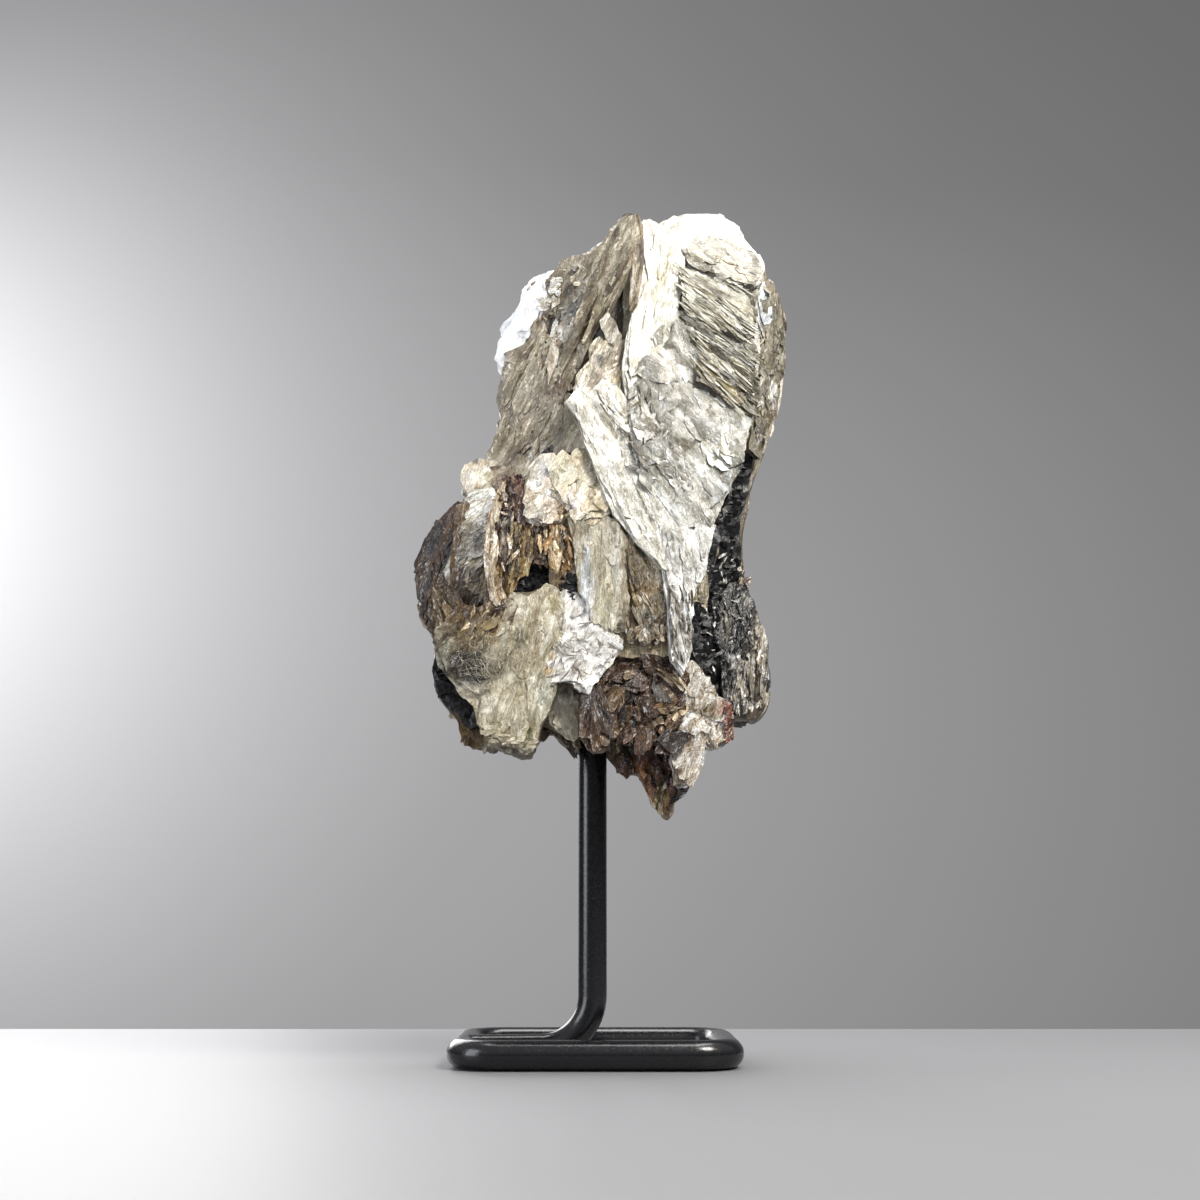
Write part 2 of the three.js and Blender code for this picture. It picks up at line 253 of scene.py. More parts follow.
def cloud(tree, uv, along, across, detail=3.0, roughness=0.62, output="Fac"):
    """Noise whose blotches are along by across millimetres."""
    return add_node(tree, "ShaderNodeTexNoise", {"noise_dimensions": "2D"}, {
        "Vector": stretched(tree, uv, along, across), "Scale": 1.0, "Detail": detail,
        "Roughness": roughness}).outputs[output]


def leaf_mosaic(tree, uv, along, across):
    """Small leaves beside each other, each a cell with its own random colour."""
    return add_node(tree, "ShaderNodeTexVoronoi", {"voronoi_dimensions": "2D"}, {
        "Vector": stretched(tree, uv, along, across), "Scale": 1.0, "Randomness": 1.0}).outputs["Color"]


def threads(tree, uv, along, across, width):
    """Hair-thin lines that wander along the grain: one where they run, nothing between them."""
    level = cloud(tree, uv, along, across, 4.0)
    away = arithmetic(tree, "ABSOLUTE", arithmetic(tree, "SUBTRACT", level, 0.5), 0.0)
    return mapped(tree, away, 0.0, width, 1.0, 0.0)


def matt_board(name, code, roughness):
    """Wall or table paint: flat and pale, with a faint roller grain."""
    material, tree, shader = new_material(name)
    feed(tree, shader, {
        "Base Color": linear(code), "Roughness": roughness,
        "Normal": bumped(tree, specks(tree, 300.0), 0.05, 0.2)})
    return material


def powder_coat():
    """Gloss black powder coat baked on steel rod: a faint orange peel about 1.5 mm across, specks
    of dust, and a slightly blue black."""
    material, tree, shader = new_material("gloss_black_powder_coat_on_steel_rod")
    dust = specks(tree, 1400.0, 3.0)
    feed(tree, shader, {
        "Base Color": ramp(tree, dust, [(0.0, "#0c0d10"), (0.70, "#0f1014"), (0.80, "#3b3d42")]),
        "Roughness": mapped(tree, dust, 0.3, 0.8, 0.16, 0.34),
        "Normal": bumped(tree, specks(tree, 650.0), 0.12, 0.2), "IOR": COATING_IOR})
    return material


def cleaved_mica(name, stain, staining, glint, coat, roughness, flash, contrast=1.0, swirl=0.7, streaks=0.84,
                 deep="#f3e9d4", shine=0.5):
    """Mica split along its sheets. The surface is a mosaic of leaves three to nine millimetres long,
    each tipped its own way, so that they flash one by one, with silky fibres that turn from leaf to
    leaf. What lies deeper looks browner, and iron stains lie in patches. White is mixed in partly for
    what is bruised or freshly split and partly as painted highlight: painted glints and a painted sheen
    where the patterns are lightest."""

    def dimming(value, low, high, darkest, lightest):
        """How much of the tone is left where a pattern is at its lowest and highest."""
        return mapped(tree, value, low, high, 1 - contrast * (1 - darkest), 1 - contrast * (1 - lightest))

    def times(first, second):
        return arithmetic(tree, "MULTIPLY", first, second)

    material, tree, shader = new_material(name)
    uv = add_node(tree, "ShaderNodeUVMap", {"uv_map": "grain"}).outputs["UV"]
    tone = add_node(tree, "ShaderNodeVertexColor", {"layer_name": "tone"}).outputs["Color"]
    half = (0.5, 0.5, 0.5)

    # The leaves: two sizes of cell with ragged outlines, each cell tipped by its own colour.
    drift = vectors(tree, "SUBTRACT", cloud(tree, uv, 5.0, 2.6, 5.0, 0.65, "Color"), half)
    ragged = vectors(tree, "MULTIPLY_ADD", drift, (5.0 * MM, 2.4 * MM, 0.0), uv)
    small = leaf_mosaic(tree, ragged, 3.4, 1.6)
    both = vectors(tree, "MULTIPLY_ADD", small, half, leaf_mosaic(tree, ragged, 9.0, 3.6))
    tipped = vectors(tree, "MULTIPLY_ADD", both, (flash,) * 3, (-0.75 * flash,) * 3)
    facing = add_node(tree, "ShaderNodeNewGeometry").outputs["Normal"]
    flashing = vectors(tree, "NORMALIZE", vectors(tree, "ADD", tipped, facing))
    split = channels(tree, both)

    # The patterns, from broad streaks down to fibres and the torn edges between them.
    turning = mapped(tree, channels(tree, small)["Red"], 0.0, 1.0, -swirl, swirl)
    silk = add_node(tree, "ShaderNodeVectorRotate", {"rotation_type": "Z_AXIS"}, {
        "Vector": ragged, "Angle": turning}).outputs["Vector"]
    fibres = cloud(tree, silk, 2.8, 0.36)
    broad = cloud(tree, ragged, 16.0, 1.1)
    blotch = cloud(tree, ragged, 6.5, 3.6, 6.0)
    mottle = cloud(tree, silk, 0.9, 0.55, 4.0)
    torn_edges = times(threads(tree, ragged, 9.0, 2.2, 0.016), mapped(tree, blotch, 0.56, 0.44, 0.0, 1.0))
    shade = dimming(split["Green"], 0.2, 1.3, 0.82, 1.12)
    for pattern, low, high, darkest, lightest in ((broad, 0.36, 0.64, streaks, 1.12),
            (fibres, 0.34, 0.66, 0.58, 1.28), (blotch, 0.34, 0.58, 0.72, 1.1),
            (mottle, 0.36, 0.64, 0.7, 1.18), (torn_edges, 1.0, 0.0, 0.6, 1.0)):
        shade = times(shade, dimming(pattern, low, high, darkest, lightest))

    # The colour: stained in patches, browner where it is deep, white where it is bruised or fresh and where
    # painted glints and a painted sheen stand in for highlights.
    rust = times(mapped(tree, blotch, 0.55, 0.36, 0.0, 1.0), mapped(tree, split["Blue"], 0.2, 1.3, 0.3, 1.4))
    stained = blend(tree, times(rust, staining), tone, linear(stain))
    depth = blend(tree, mapped(tree, shade, 0.86, 0.36, 0.0, 1.0), linear("#ffffff"), linear(deep))
    shaded = add_node(tree, "ShaderNodeVectorMath", {"operation": "SCALE"}, {
        0: vectors(tree, "MULTIPLY", stained, depth), "Scale": shade}).outputs["Vector"]
    # The white below is partly painted highlight, with painted glints in small patches and a painted sheen
    # where the patterns are lightest, and partly real bruises and fresh splits. The glint setting makes all
    # of it stronger, the splinters too.
    milky_and_glints = mapped(tree, mottle, 0.72 - 0.18 * glint, 0.88 - 0.18 * glint, 0.0, 0.8)
    fresh_and_sheen = mapped(tree, shade, 1.08, 1.5, 0.0, 0.35 + glint)
    splinters = times(threads(tree, silk, 6.0, 1.3, 0.012), 0.15 + glint)
    white = arithmetic(tree, "MAXIMUM", arithmetic(tree, "MAXIMUM", milky_and_glints, splinters), fresh_and_sheen)

    relief = arithmetic(tree, "ADD", times(split["Blue"], 0.6), broad)
    for pattern, weight in ((mottle, 0.9), (fibres, 1.2)):
        relief = arithmetic(tree, "ADD", relief, times(pattern, weight))
    feed(tree, shader, {
        "Base Color": blend(tree, white, shaded, linear("#f5f7f9")),
        "Roughness": mapped(tree, split["Green"], 0.2, 1.3, roughness - 0.12, roughness + 0.14),
        "Normal": bumped(tree, relief, 0.5, 0.3, Normal=flashing),
        "IOR": MICA_IOR, "Specular IOR Level": shine, "Coat Weight": coat, "Coat Roughness": 0.2})
    return material


def mica_heart():
    """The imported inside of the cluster, seen only down the gaps: brown-grey mica edges in shade."""
    material, tree, shader = new_material("packed_mica_edges")
    where = add_node(tree, "ShaderNodeTexCoord").outputs["Object"]
    stretch = add_node(tree, "ShaderNodeMapping", {}, {"Vector": where, "Scale": (120.0, 1300.0, 60.0)})
    grain = add_node(tree, "ShaderNodeTexNoise", {}, {
        "Vector": stretch.outputs["Vector"], "Scale": 1.0, "Detail": 4.0, "Distortion": 0.8}).outputs["Fac"]
    mixed = arithmetic(tree, "MULTIPLY", arithmetic(tree, "ADD", grain, specks(tree, 90.0)), 0.5)
    feed(tree, shader, {
        "Base Color": ramp(tree, mixed, [
            (0.32, "#1d1814"), (0.44, "#4a4034"), (0.54, "#7b705e"), (0.66, "#b1a894")]),
        "Roughness": 0.45, "Normal": bumped(tree, grain, 0.8, 0.6), "IOR": MICA_IOR})
    return material


def schorl():
    """Black tourmaline: glassy broken grains, nearly black with a blue cast."""
    material, tree, shader = new_material("broken_black_tourmaline")
    grain = specks(tree, 900.0, 4.0)
    feed(tree, shader, {
        "Base Color": ramp(tree, grain, [(0.3, "#060609"), (0.62, "#0d0e12"), (0.8, "#2c2d33")]),
        "Roughness": mapped(tree, grain, 0.3, 0.7, 0.24, 0.6),
        "Normal": bumped(tree, grain, 0.7, 0.5), "IOR": TOURMALINE_IOR, "Specular IOR Level": 0.32})
    return material


# ---- stand ------------------------------------------------------------------------------------


def make_stand():
    """The rod, bent by hand: a ring extruded along each straight and spun round each corner."""
    around = 40
    bend_steps = 16

    def start_ring(at, facing):
        deselect()
        bpy.ops.mesh.primitive_circle_add(vertices=around, radius=ROD_RADIUS * MM)
        rod = bpy.context.object
        turn = Vector(facing).to_track_quat("Z", "Y").to_matrix().to_4x4()
        rod.data.transform(Matrix.Translation(place(at)) @ turn)
        bpy.ops.object.mode_set(mode="EDIT")
        bpy.ops.mesh.select_all(action="SELECT")
        return rod

    def straight(step):
        bpy.ops.mesh.extrude_region_move(TRANSFORM_OT_translate={"value": tuple(Vector(step) * MM)})

    def bend(centre, axis, angle):
        # The spin operator turns clockwise about its axis.
        bpy.ops.mesh.spin(steps=bend_steps, angle=-angle, center=place(centre), axis=axis)

    z = ROD_RADIUS
    x, y, r = LOOP_X, LOOP_Y, LOOP_CORNER
    quarter = math.pi / 2
    loop = start_ring((-x + r, -y, z), (1, 0, 0))
    for step, corner in (((2 * (x - r), 0, 0), (x - r, -y + r, z)),
            ((0, 2 * (y - r), 0), (x - r, y - r, z)), ((-2 * (x - r), 0, 0), (-x + r, y - r, z)),
            ((0, -2 * (y - r), 0), (-x + r, -y + r, z))):
        straight(step)
        bend(corner, UP, quarter)
    bpy.ops.mesh.select_all(action="SELECT")
    bpy.ops.mesh.remove_doubles(threshold=0.02 * MM)
    bpy.ops.mesh.normals_make_consistent(inside=False)
    bpy.ops.object.mode_set(mode="OBJECT")

    toward = Vector((POST_X + x, BAR_FRONT_SHIFT, 0)).normalized()
    foot = Vector((POST_X, 0, z)) - toward * POST_BEND
    first = Vector((-x, -BAR_FRONT_SHIFT, z))
    post = start_ring(first, toward)
    straight(foot - first)
    bend(foot + UP * POST_BEND, UP.cross(toward), -quarter)
    straight((0, 0, POST_TOP - POST_BEND - z))
    bpy.ops.mesh.edge_face_add()
    bpy.ops.mesh.select_all(action="SELECT")
    bpy.ops.mesh.normals_make_consistent(inside=False)
    bpy.ops.object.mode_set(mode="OBJECT")

    pick(loop)
    post.select_set(True)
    bpy.ops.object.join()
    loop.name = "bent_rod"
    bpy.ops.object.shade_smooth_by_angle(angle=math.radians(50))
    loop.data.materials.append(powder_coat())
    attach(loop, "root")
    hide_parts("rod_stand")


# ---- sheets -----------------------------------------------------------------------------------


def show_for_specimen(made, sharp):
    """Smooths an object up to an edge this sharp, and puts it in place of the specimen's solid."""
    pick(made)
    bpy.ops.object.shade_smooth_by_angle(angle=math.radians(sharp))
    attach(made, "root")
    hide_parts("mica_specimen")


class Heap:
    """The faces of many leaves, gathered to become one piece."""

    def __init__(self):
        self.points = []
        self.tones = []
        self.faces = []
        self.uvs = []

    def add_point(self, at, tone):
        self.points.append(place(at))
        self.tones.append(tone)
        return len(self.points) - 1

    def add_face(self, corners, uvs):
        self.faces.append(corners)
        self.uvs.extend(uvs)

    def piece(self, name, material, sharp=32):
        mesh = bpy.data.meshes.new(name)
        mesh.from_pydata(self.points, [], self.faces)
        layer = mesh.uv_layers.new(name="grain")
        layer.data.foreach_set("uv", [c for uv in self.uvs for c in uv])
        tone = mesh.color_attributes.new("tone", "FLOAT_COLOR", "POINT")
        tone.data.foreach_set("color", [c for t in self.tones for c in t])
        mesh.materials.append(material)
        show_for_specimen(add_object(name, mesh), sharp)


class Front:
    """A leaning plane seen from the front: its depth where x = 0 and z = LEVEL, and how far it
    falls back per millimetre to the right and upwards."""

    def __init__(self, y, right=0.0, up=0.0):
        self.y, self.right, self.up = y, right, up
        self.normal = Vector((right, -1, up)).normalized()

    def at(self, x, z, height=0.0):
        sight = Vector((x, DRAWING_Y, z)) - EYE
        top = self.y - EYE.y + self.right * EYE.x + self.up * (EYE.z - LEVEL)
        reach = top / (sight.y - self.right * sight.x - self.up * sight.z)
        return EYE + sight * reach + self.normal * height


class Flat:
    """Any plane: a middle point and its outward normal, with x across and z upwards on it."""

    def __init__(self, middle, normal):
        self.middle = Vector(middle)
        self.normal = Vector(normal).normalized()
        self.across = UP.cross(self.normal).normalized()
        self.up = self.normal.cross(self.across)

    def at(self, x, z, height=0.0):
        return self.middle + self.across * x + self.up * z + self.normal * height


class Rear(Flat):
    """A leaning plane on the back, drawn as seen from behind, with the same lean as a Front."""

    def __init__(self, y, right=0.0, up=0.0):
        super().__init__((0, y, LEVEL), (-right, 1, -up))

    def at(self, x, z, height=0.0):
        return super().at(x, z - LEVEL, height)


class Drape(Flat):
    """A plane whose sheets follow the skin under them, as far as REACH above or below it."""
    REACH = 5.0
    LOOK_FROM = 30.0

    def __init__(self, middle, normal, skin):
        super().__init__(middle, normal)
        self.skin = skin

    def at(self, x, z, height=0.0):
        point = super().at(x, z)
        hit = self.skin.ray_cast(point + self.normal * self.LOOK_FROM, -self.normal)[0]
        sink = (hit - point).dot(self.normal) if hit else -self.REACH
        return point + self.normal * (max(-self.REACH, min(self.REACH, sink)) + height)


def wander(u, v, seed):
    return noise.noise(Vector((u, v, seed)))


def facet(u, v, seed, along, across):
    """The small leaf that covers a point: how far the point lies from its middle, and its dice."""
    nearest = noise.voronoi(Vector((u / along, v / across, seed)))[1][0]
    return u - nearest.x * along, v - nearest.y * across, noise.cell_vector(nearest * 37.0)


def resampled(points, step):
    """A closed outline cut into pieces of about one step."""
    out = []
    for i, a in enumerate(points):
        b = points[(i + 1) % len(points)]
        count = max(1, round((b - a).length / step))
        out.extend(a.lerp(b, k / count) for k in range(count))
    return out


def torn(points, grain, tear, wave, seed, step):
    """An outline with its ends across the grain torn into splinters and its sides chipped."""
    points = resampled(points, step)
    count = len(points)
    area = sum(points[i - 1].cross(points[i]) for i in range(count))
    turn = 1 if area > 0 else -1
    side = Vector((-grain.y, grain.x))
    out = []
    for i, point in enumerate(points):
        tangent = (points[(i + 1) % count] - points[i - 1]).normalized()
        outward = Vector((tangent.y, -tangent.x)) * turn
        facing = outward.dot(grain)
        across = point.dot(side)
        splinter = wander(across * 0.55, seed, 1.3) + 0.8 * wander(across * 1.7, seed, 5.1)
        ripple = wander(point.x * 0.24, point.y * 0.24, seed)
        nick = wander(point.x * 0.9, point.y * 0.9, seed + 4)
        nick += 0.7 * wander(point.x * 2.3, point.y * 2.3, seed)
        out.append(
            point + grain * (facing * tear * splinter) + outward * (wave * (1.3 * ripple + 0.6 * nick)))
    return out


def inside(point, rim):
    """Whether a point lies inside a closed outline."""
    odd = False
    for i, a in enumerate(rim):
        b = rim[i - 1]
        if (a.y > point.y) != (b.y > point.y):
            if point.x < (b.x - a.x) * (point.y - a.y) / (b.y - a.y) + a.x:
                odd = not odd
    return odd


def rows_inside(rim, along, across, seed):
    """Points inside an outline given in grain coordinates: close across it, further along it."""
    points = []
    low = min(p.y for p in rim)
    high = max(p.y for p in rim)
    row = 0
    v = low + 0.6 * across
    while v < high:
        cuts = []
        for i, a in enumerate(rim):
            b = rim[i - 1]
            if (a.y > v) != (b.y > v):
                cuts.append(a.x + (b.x - a.x) * (v - a.y) / (b.y - a.y))
        cuts.sort()
        margin = 0.45 * along
        for start, end in zip(cuts[::2], cuts[1::2]):
            u = (math.floor(start / along) + 0.5 * (row % 2)) * along
            while u < end - margin:
                if u > start + margin:
                    shift = 0.3 * along * wander(u * 1.7, v * 1.7, seed)
                    points.append(Vector((u + shift, v + 0.3 * across * wander(u, v * 2.1, seed + 7))))
                u += along
        v += across
        row += 1
    return points


class Sheet:
    """One cleaved sheet. Its outline is in the plane of its lay, in millimetres, and its relief is
    drawn out along the grain. With a fan point, the grain runs out from that point instead.

    LEAVES are the length, width and weight of the small leaves in its relief. FAN_WIDTH is how far
    across the grain one radian of a fan counts."""
    LEAVES = ((13, 5.5, 1.0), (5, 2.1, 0.3))
    FAN_WIDTH = 24.0

    def __init__(self, lay, outline, grain, thick=0.8, tones=("#d8d2c4", "#efebe2"), height=0.0,
                 tear=0.7, wave=0.35, swell=0.6, ribs=0.2, step=0.24, crumple=0.0, seed=0.0, spacing=0.95,
                 under=None, spots=(), holes=(), fan=None, cant=0.0, like=None, strength=1.0):
        self.lay, self.thick, self.height = lay, thick, height
        self.grain, self.side = heading(grain)
        self.tones = [Vector(linear(t)) for t in tones]
        self.spots = [(Vector((x, z)), along, across, Vector(linear(code))) for x, z, along, across,
            code in spots]
        self.holes = [(Vector((x, z)), rx, rz) for x, z, rx, rz in holes]
        self.swell, self.ribs, self.step, self.crumple = swell, ribs, step, crumple
        self.seed, self.under, self.spacing = seed, under, spacing
        self.fan = Vector(fan) if fan else None
        self.like, self.strength, self.top = like, strength, 0.0
        drawn = [Vector(p) for p in outline]
        self.cant, self.middle = cant, average(drawn)
        self.outline = torn(drawn, self.grain, tear, wave, seed, spacing)

    def flow(self, point):
        """Lengths along and across the grain."""
        if self.fan is None:
            return point.dot(self.grain), point.dot(self.side)
        spoke = point - self.fan
        return spoke.length, math.atan2(spoke.cross(self.grain), spoke.dot(self.grain)) * -self.FAN_WIDTH

    def relief(self, point):
        """Height over the plane. A sheet on another follows what lies under it."""
        u, v = self.flow(point)
        own = self.swell * wander(u / 24, v / 13, self.seed)
        own += 0.4 * self.ribs * wander(u / 18, v / 1.6, self.seed + 3)
        for along, across, weight in self.LEAVES:
            du, dv, dice = facet(u, v, self.seed, along, across)
            tip = 0.12 * (dice.y - 0.5) * du
            own += self.step * weight * (2.6 * (dice.x - 0.5) + tip + 0.7 * (dice.z - 0.5) * dv)
        if self.crumple:
            fold = abs(wander(u / 7, v / 5, self.seed + 20))
            fold += 0.4 * abs(wander(u / 2.8, v / 2.4, self.seed + 22))
            own -= self.crumple * 1.6 * fold
        own += self.cant * (point - self.middle).dot(self.side)
        base = self.under.relief(point) if self.under else 0.0
        return base + own + self.height

    def tone(self, point):
        if self.like:
            return lit(self.like.tone(point), self.strength)
        u, v = self.flow(point)
        mix = 0.5 + 1.2 * wander(u / 13, v / 3.4, self.seed + 9)
        mix += 0.6 * wander(u / 3.5, v / 1.9, self.seed + 2)
        length, width, _ = self.LEAVES[0]
        mix += 0.9 * (facet(u, v, self.seed, length, width)[2].x - 0.5)
        tone = self.tones[0].lerp(self.tones[1], min(1, max(0, mix)))
        for middle, along, across, colour in self.spots:
            offset = point - middle
            reach = math.hypot(offset.dot(self.grain) / along, offset.dot(self.side) / across)
            ragged = 0.6 * wander(u / 3, v / 0.9, self.seed + 31)
            reach += ragged + 0.3 * wander(u / 1.3, v / 0.5, self.seed + 33)
            tone = tone.lerp(colour, min(1, max(0, 2.5 * (1 - reach))) * 0.92)
        return tone

    def pierced(self, point):
        for middle, rx, rz in self.holes:
            offset = point - middle
            ragged = 1 + 0.35 * wander(offset.x * 0.6, offset.y * 0.6, self.seed + 40)
            if math.hypot(offset.x / rx, offset.y / rz) < ragged:
                return True
        return False

    def near_hole(self, point, reach):
        return any((point - middle).length < reach for middle, *_ in self.holes)

    def build(self, heap):
        rim = self.outline
        turned = [Vector((p.dot(self.grain), p.dot(self.side))) for p in rim]
        inner = [self.grain * q.x + self.side * q.y
                 for q in rows_inside(turned, 1.9 * self.spacing, self.spacing, self.seed)]
        made = geometry.delaunay_2d_cdt(rim + inner, [], [list(range(len(rim)))], 1, 1e-4)
        flat, faces = made[0], made[2]
        if self.holes:
            faces = [face for face in faces if not self.pierced(average([flat[i] for i in face]))]
        top = []
        bottom = []
        uv = []
        for point in flat:
            height = self.relief(point)
            tone = self.tone(point)
            top.append(heap.add_point(self.lay.at(point.x, point.y, height), tone))
            bottom.append(heap.add_point(self.lay.at(point.x, point.y, height - self.thick), tone))
            u, v = self.flow(point)
            uv.append(((u + self.seed * 7) * MM, v * MM))
        walls = set()
        for face in faces:
            a, b, c = face
            if (flat[b] - flat[a]).cross(flat[c] - flat[a]) < 0:
                face = [a, c, b]
            heap.add_face([top[i] for i in face], [uv[i] for i in face])
            heap.add_face([bottom[i] for i in reversed(face)], [uv[i] for i in reversed(face)])
            walls.update(zip(face, face[1:] + face[:1]))
        run = 0.0
        edge = self.thick * 2 * MM
        for i, j in sorted(walls):
            if (j, i) in walls:
                continue
            length = (flat[j] - flat[i]).length
            near, far = run * MM, (run + length) * MM
            heap.add_face([top[j], top[i], bottom[i], bottom[j]],
                          [(far, edge), (near, edge), (near, 0), (far, 0)])
            run += length
        return self


def leaf_corners(dice, corners, jitter, nearest, furthest):
    """The angle and the reach of each corner of a small torn leaf."""
    for k in range(corners):
        angle = (k + dice.uniform(-jitter, jitter)) / corners * math.tau
        yield angle, dice.uniform(nearest, furthest)


def varied(code, spread, dice):
    """A colour a little lighter or darker and warmer or cooler."""
    lift = 1 + dice.uniform(-spread, spread)
    warm = dice.uniform(-spread, spread) * 0.3
    channels = [int(code[i:i + 2], 16) for i in (1, 3, 5)]
    scaled = [channels[0] * (lift + warm), channels[1] * lift, channels[2] * (lift - warm)]
    return "#" + "".join(f"{int(min(255, max(0, c))):02x}" for c in scaled)


def book(heap, lay, outline, grain, tones, leaves=3, gap=0.45, seed=0, **more):
    """A stack of sheets, each broken back at random from the one under it."""
    dice = random.Random(seed)
    drawn = [Vector(p) for p in outline]
    centre = average(drawn)
    base = None
    for leaf in range(leaves):
        shrunk = []
        for point in drawn:
            back = dice.uniform(0.2, 2.4) * leaf * (dice.random() < 0.75)
            shrunk.append(point + (centre - point).normalized() * back)
        pair = [varied(t, 0.05, dice) for t in tones]
        settings = dict(more, thick=more.get("thick", 1.4) if leaf == 0 else gap + 0.2)
        if leaf:
            settings.update(height=gap * leaf, swell=0.15, step=0.12, under=base, crumple=0.0, cant=0.0)
        sheet = Sheet(lay, shrunk, grain + dice.uniform(-3, 3), tones=pair, seed=seed * 1.7 + leaf * 4.1,
            **settings)
        sheet.build(heap)
        base = base or sheet
    base.top = gap * (leaves - 1)
    return base


def lit(tone, strength):
    """A linear colour made lighter or darker."""
    return Vector([min(1.0, c * strength) for c in tone[:3]] + [1.0])


def flake(heap, ground, spot, size, angle, paint, lift, tilt, dice, thick=0.16):
    """A small loose leaf on a sheet: an angular outline, tipped its own way."""
    along, across = heading(angle)
    slope = Vector((dice.gauss(0, 1), dice.gauss(0, 1))) * math.tan(math.radians(tilt)) * 0.7
    corners = dice.choice((5, 6, 7, 8, 9))
    rim = [(math.cos(turn) * size[0] / 2 * reach, math.sin(turn) * size[1] / 2 * reach)
           for turn, reach in leaf_corners(dice, corners, 0.35, 0.6, 1.15)]
    top = []
    bottom = []
    shift = dice.uniform(0, 400)
    height = ground.relief(spot) + lift
    for u, v in rim:
        point = spot + along * u + across * v
        rise = height + slope.x * u + slope.y * v
        shade = paint(point)
        top.append(heap.add_point(ground.lay.at(point.x, point.y, rise), shade))
        bottom.append(heap.add_point(ground.lay.at(point.x, point.y, rise - thick), shade))
    uv = [((u + shift) * MM, v * MM) for u, v in rim]
    heap.add_face(top, uv)
    heap.add_face(bottom[::-1], uv[::-1])
    for i in range(corners):
        j = (i + 1) % corners
        heap.add_face([top[j], top[i], bottom[i], bottom[j]], [uv[j], uv[i], uv[i], uv[j]])


def scattered(outline, count, dice):
    """Random points inside an outline."""
    rim = [Vector(p) for p in outline]
    low = Vector((min(p.x for p in rim), min(p.y for p in rim)))
    high = Vector((max(p.x for p in rim), max(p.y for p in rim)))
    spots = []
    while len(spots) < count:
        spot = Vector((dice.uniform(low.x, high.x), dice.uniform(low.y, high.y)))
        if inside(spot, rim):
            spots.append(spot)
    return spots


def litter(heap, ground, outline, count, size, grain, tones=None, tilt=12, seed=0, lift=0.4, spread=12,
           depth=0.0, contrast=0.16, thick=0.16):
    """Loose leaves over a region of a sheet. Without tones of their own they take on the sheet's,
    each a little lighter or darker."""
    dice = random.Random(seed)
    for spot in scattered(outline, count, dice):
        if ground.pierced(spot):
            continue
        scale = dice.uniform(0.45, 1.3)
        strength = 1 + dice.gauss(0, contrast)
        if tones:
            pair = [Vector(linear(varied(t, 0.1, dice))) for t in dice.choice(tones)]

        def paint(point):
            return pair[0].lerp(pair[1], dice.random()) if tones else lit(ground.tone(point), strength)

        flake(heap, ground, spot, (size[0] * scale, size[1] * scale * dice.uniform(0.7, 1.2)),
              grain + dice.gauss(0, spread), paint, lift + dice.uniform(-depth, depth), tilt, dice, thick)


def peels(heap, ground, outline, count, size, grain, seed=0, lift=0.22, spread=8, contrast=0.12, thick=0.14):
    """Torn leaves that lie flat on a sheet, in its own colours, each a little lighter or darker."""
    dice = random.Random(seed)
    for k, spot in enumerate(scattered(outline, count, dice)):
        if ground.near_hole(spot, size[1]):
            continue
        along, across = heading(grain + dice.gauss(0, spread))
        scale = dice.uniform(0.5, 1.4) / 2
        shape = []
        for turn, reach in leaf_corners(dice, dice.randint(6, 9), 0.3, 0.65, 1.1):
            corner = spot + along * (math.cos(turn) * size[0] * (reach * scale))
            corner += across * (math.sin(turn) * size[1] * (reach * scale))
            while not inside(corner, ground.outline) and (corner - spot).length > 0.5:
                corner = spot.lerp(corner, 0.75)
            shape.append(corner)
        height = ground.top + lift * dice.uniform(0.6, 1.3)
        Sheet(ground.lay, shape, grain, thick=thick, height=height, tear=0.5, swell=0.15, step=0.1,
            seed=seed + 3.1 * k, under=ground, like=ground,
            strength=1 + dice.gauss(0, contrast)).build(heap)


HAIR_STEPS = 7


def hairs(heap, base, centre, from_angle, to_angle, near, far, count, code, seed, width=0.14):
    """Hair-thin white splinters that run out from a point over a sheet, each bowed its own way."""
    dice = random.Random(seed)
    for _ in range(count):
        tone = lit(linear(code), dice.uniform(0.6, 1.1))
        angle = math.radians(dice.uniform(from_angle, to_angle))
        start = dice.uniform(near, far * 0.7)
        end = min(far, start + dice.uniform(0.15, 0.6) * (far - near))
        bow = dice.gauss(0, 0.28)
        wag = dice.gauss(0, 0.1)
        lift = dice.uniform(0.2, 0.8)
        shift = dice.uniform(0, 400) * MM
        last = None
        for k in range(HAIR_STEPS + 1):
            t = k / HAIR_STEPS
            spoke = angle + bow * math.sin(math.pi * t) + wag * math.sin(math.tau * t)
            reach = start + (end - start) * t
            point = Vector(centre) + Vector((math.cos(spoke), math.sin(spoke))) * reach
            if not inside(point, base.outline):
                break
            side = Vector((-math.sin(spoke), math.cos(spoke))) * width * (0.3 + math.sin(math.pi * t)) / 2
            rise = base.relief(point) + base.top + lift
            ring = []
            for sign, up in ((-1, 0), (0, 0.08), (1, 0)):
                spot = point + side * sign
                ring.append(heap.add_point(base.lay.at(spot.x, spot.y, rise + up), tone))
            if last:
                flat = [(shift, k * MM)] * 4
                for i, j in ((0, 1), (1, 2), (2, 0)):
                    heap.add_face([last[i], ring[i], ring[j], last[j]], flat)
            last = ring


LATH = [(0, -0.3), (0.12, -0.5), (0.85, -0.5), (1, -0.1), (0.92, 0.42), (0.3, 0.5), (0.02, 0.35)]


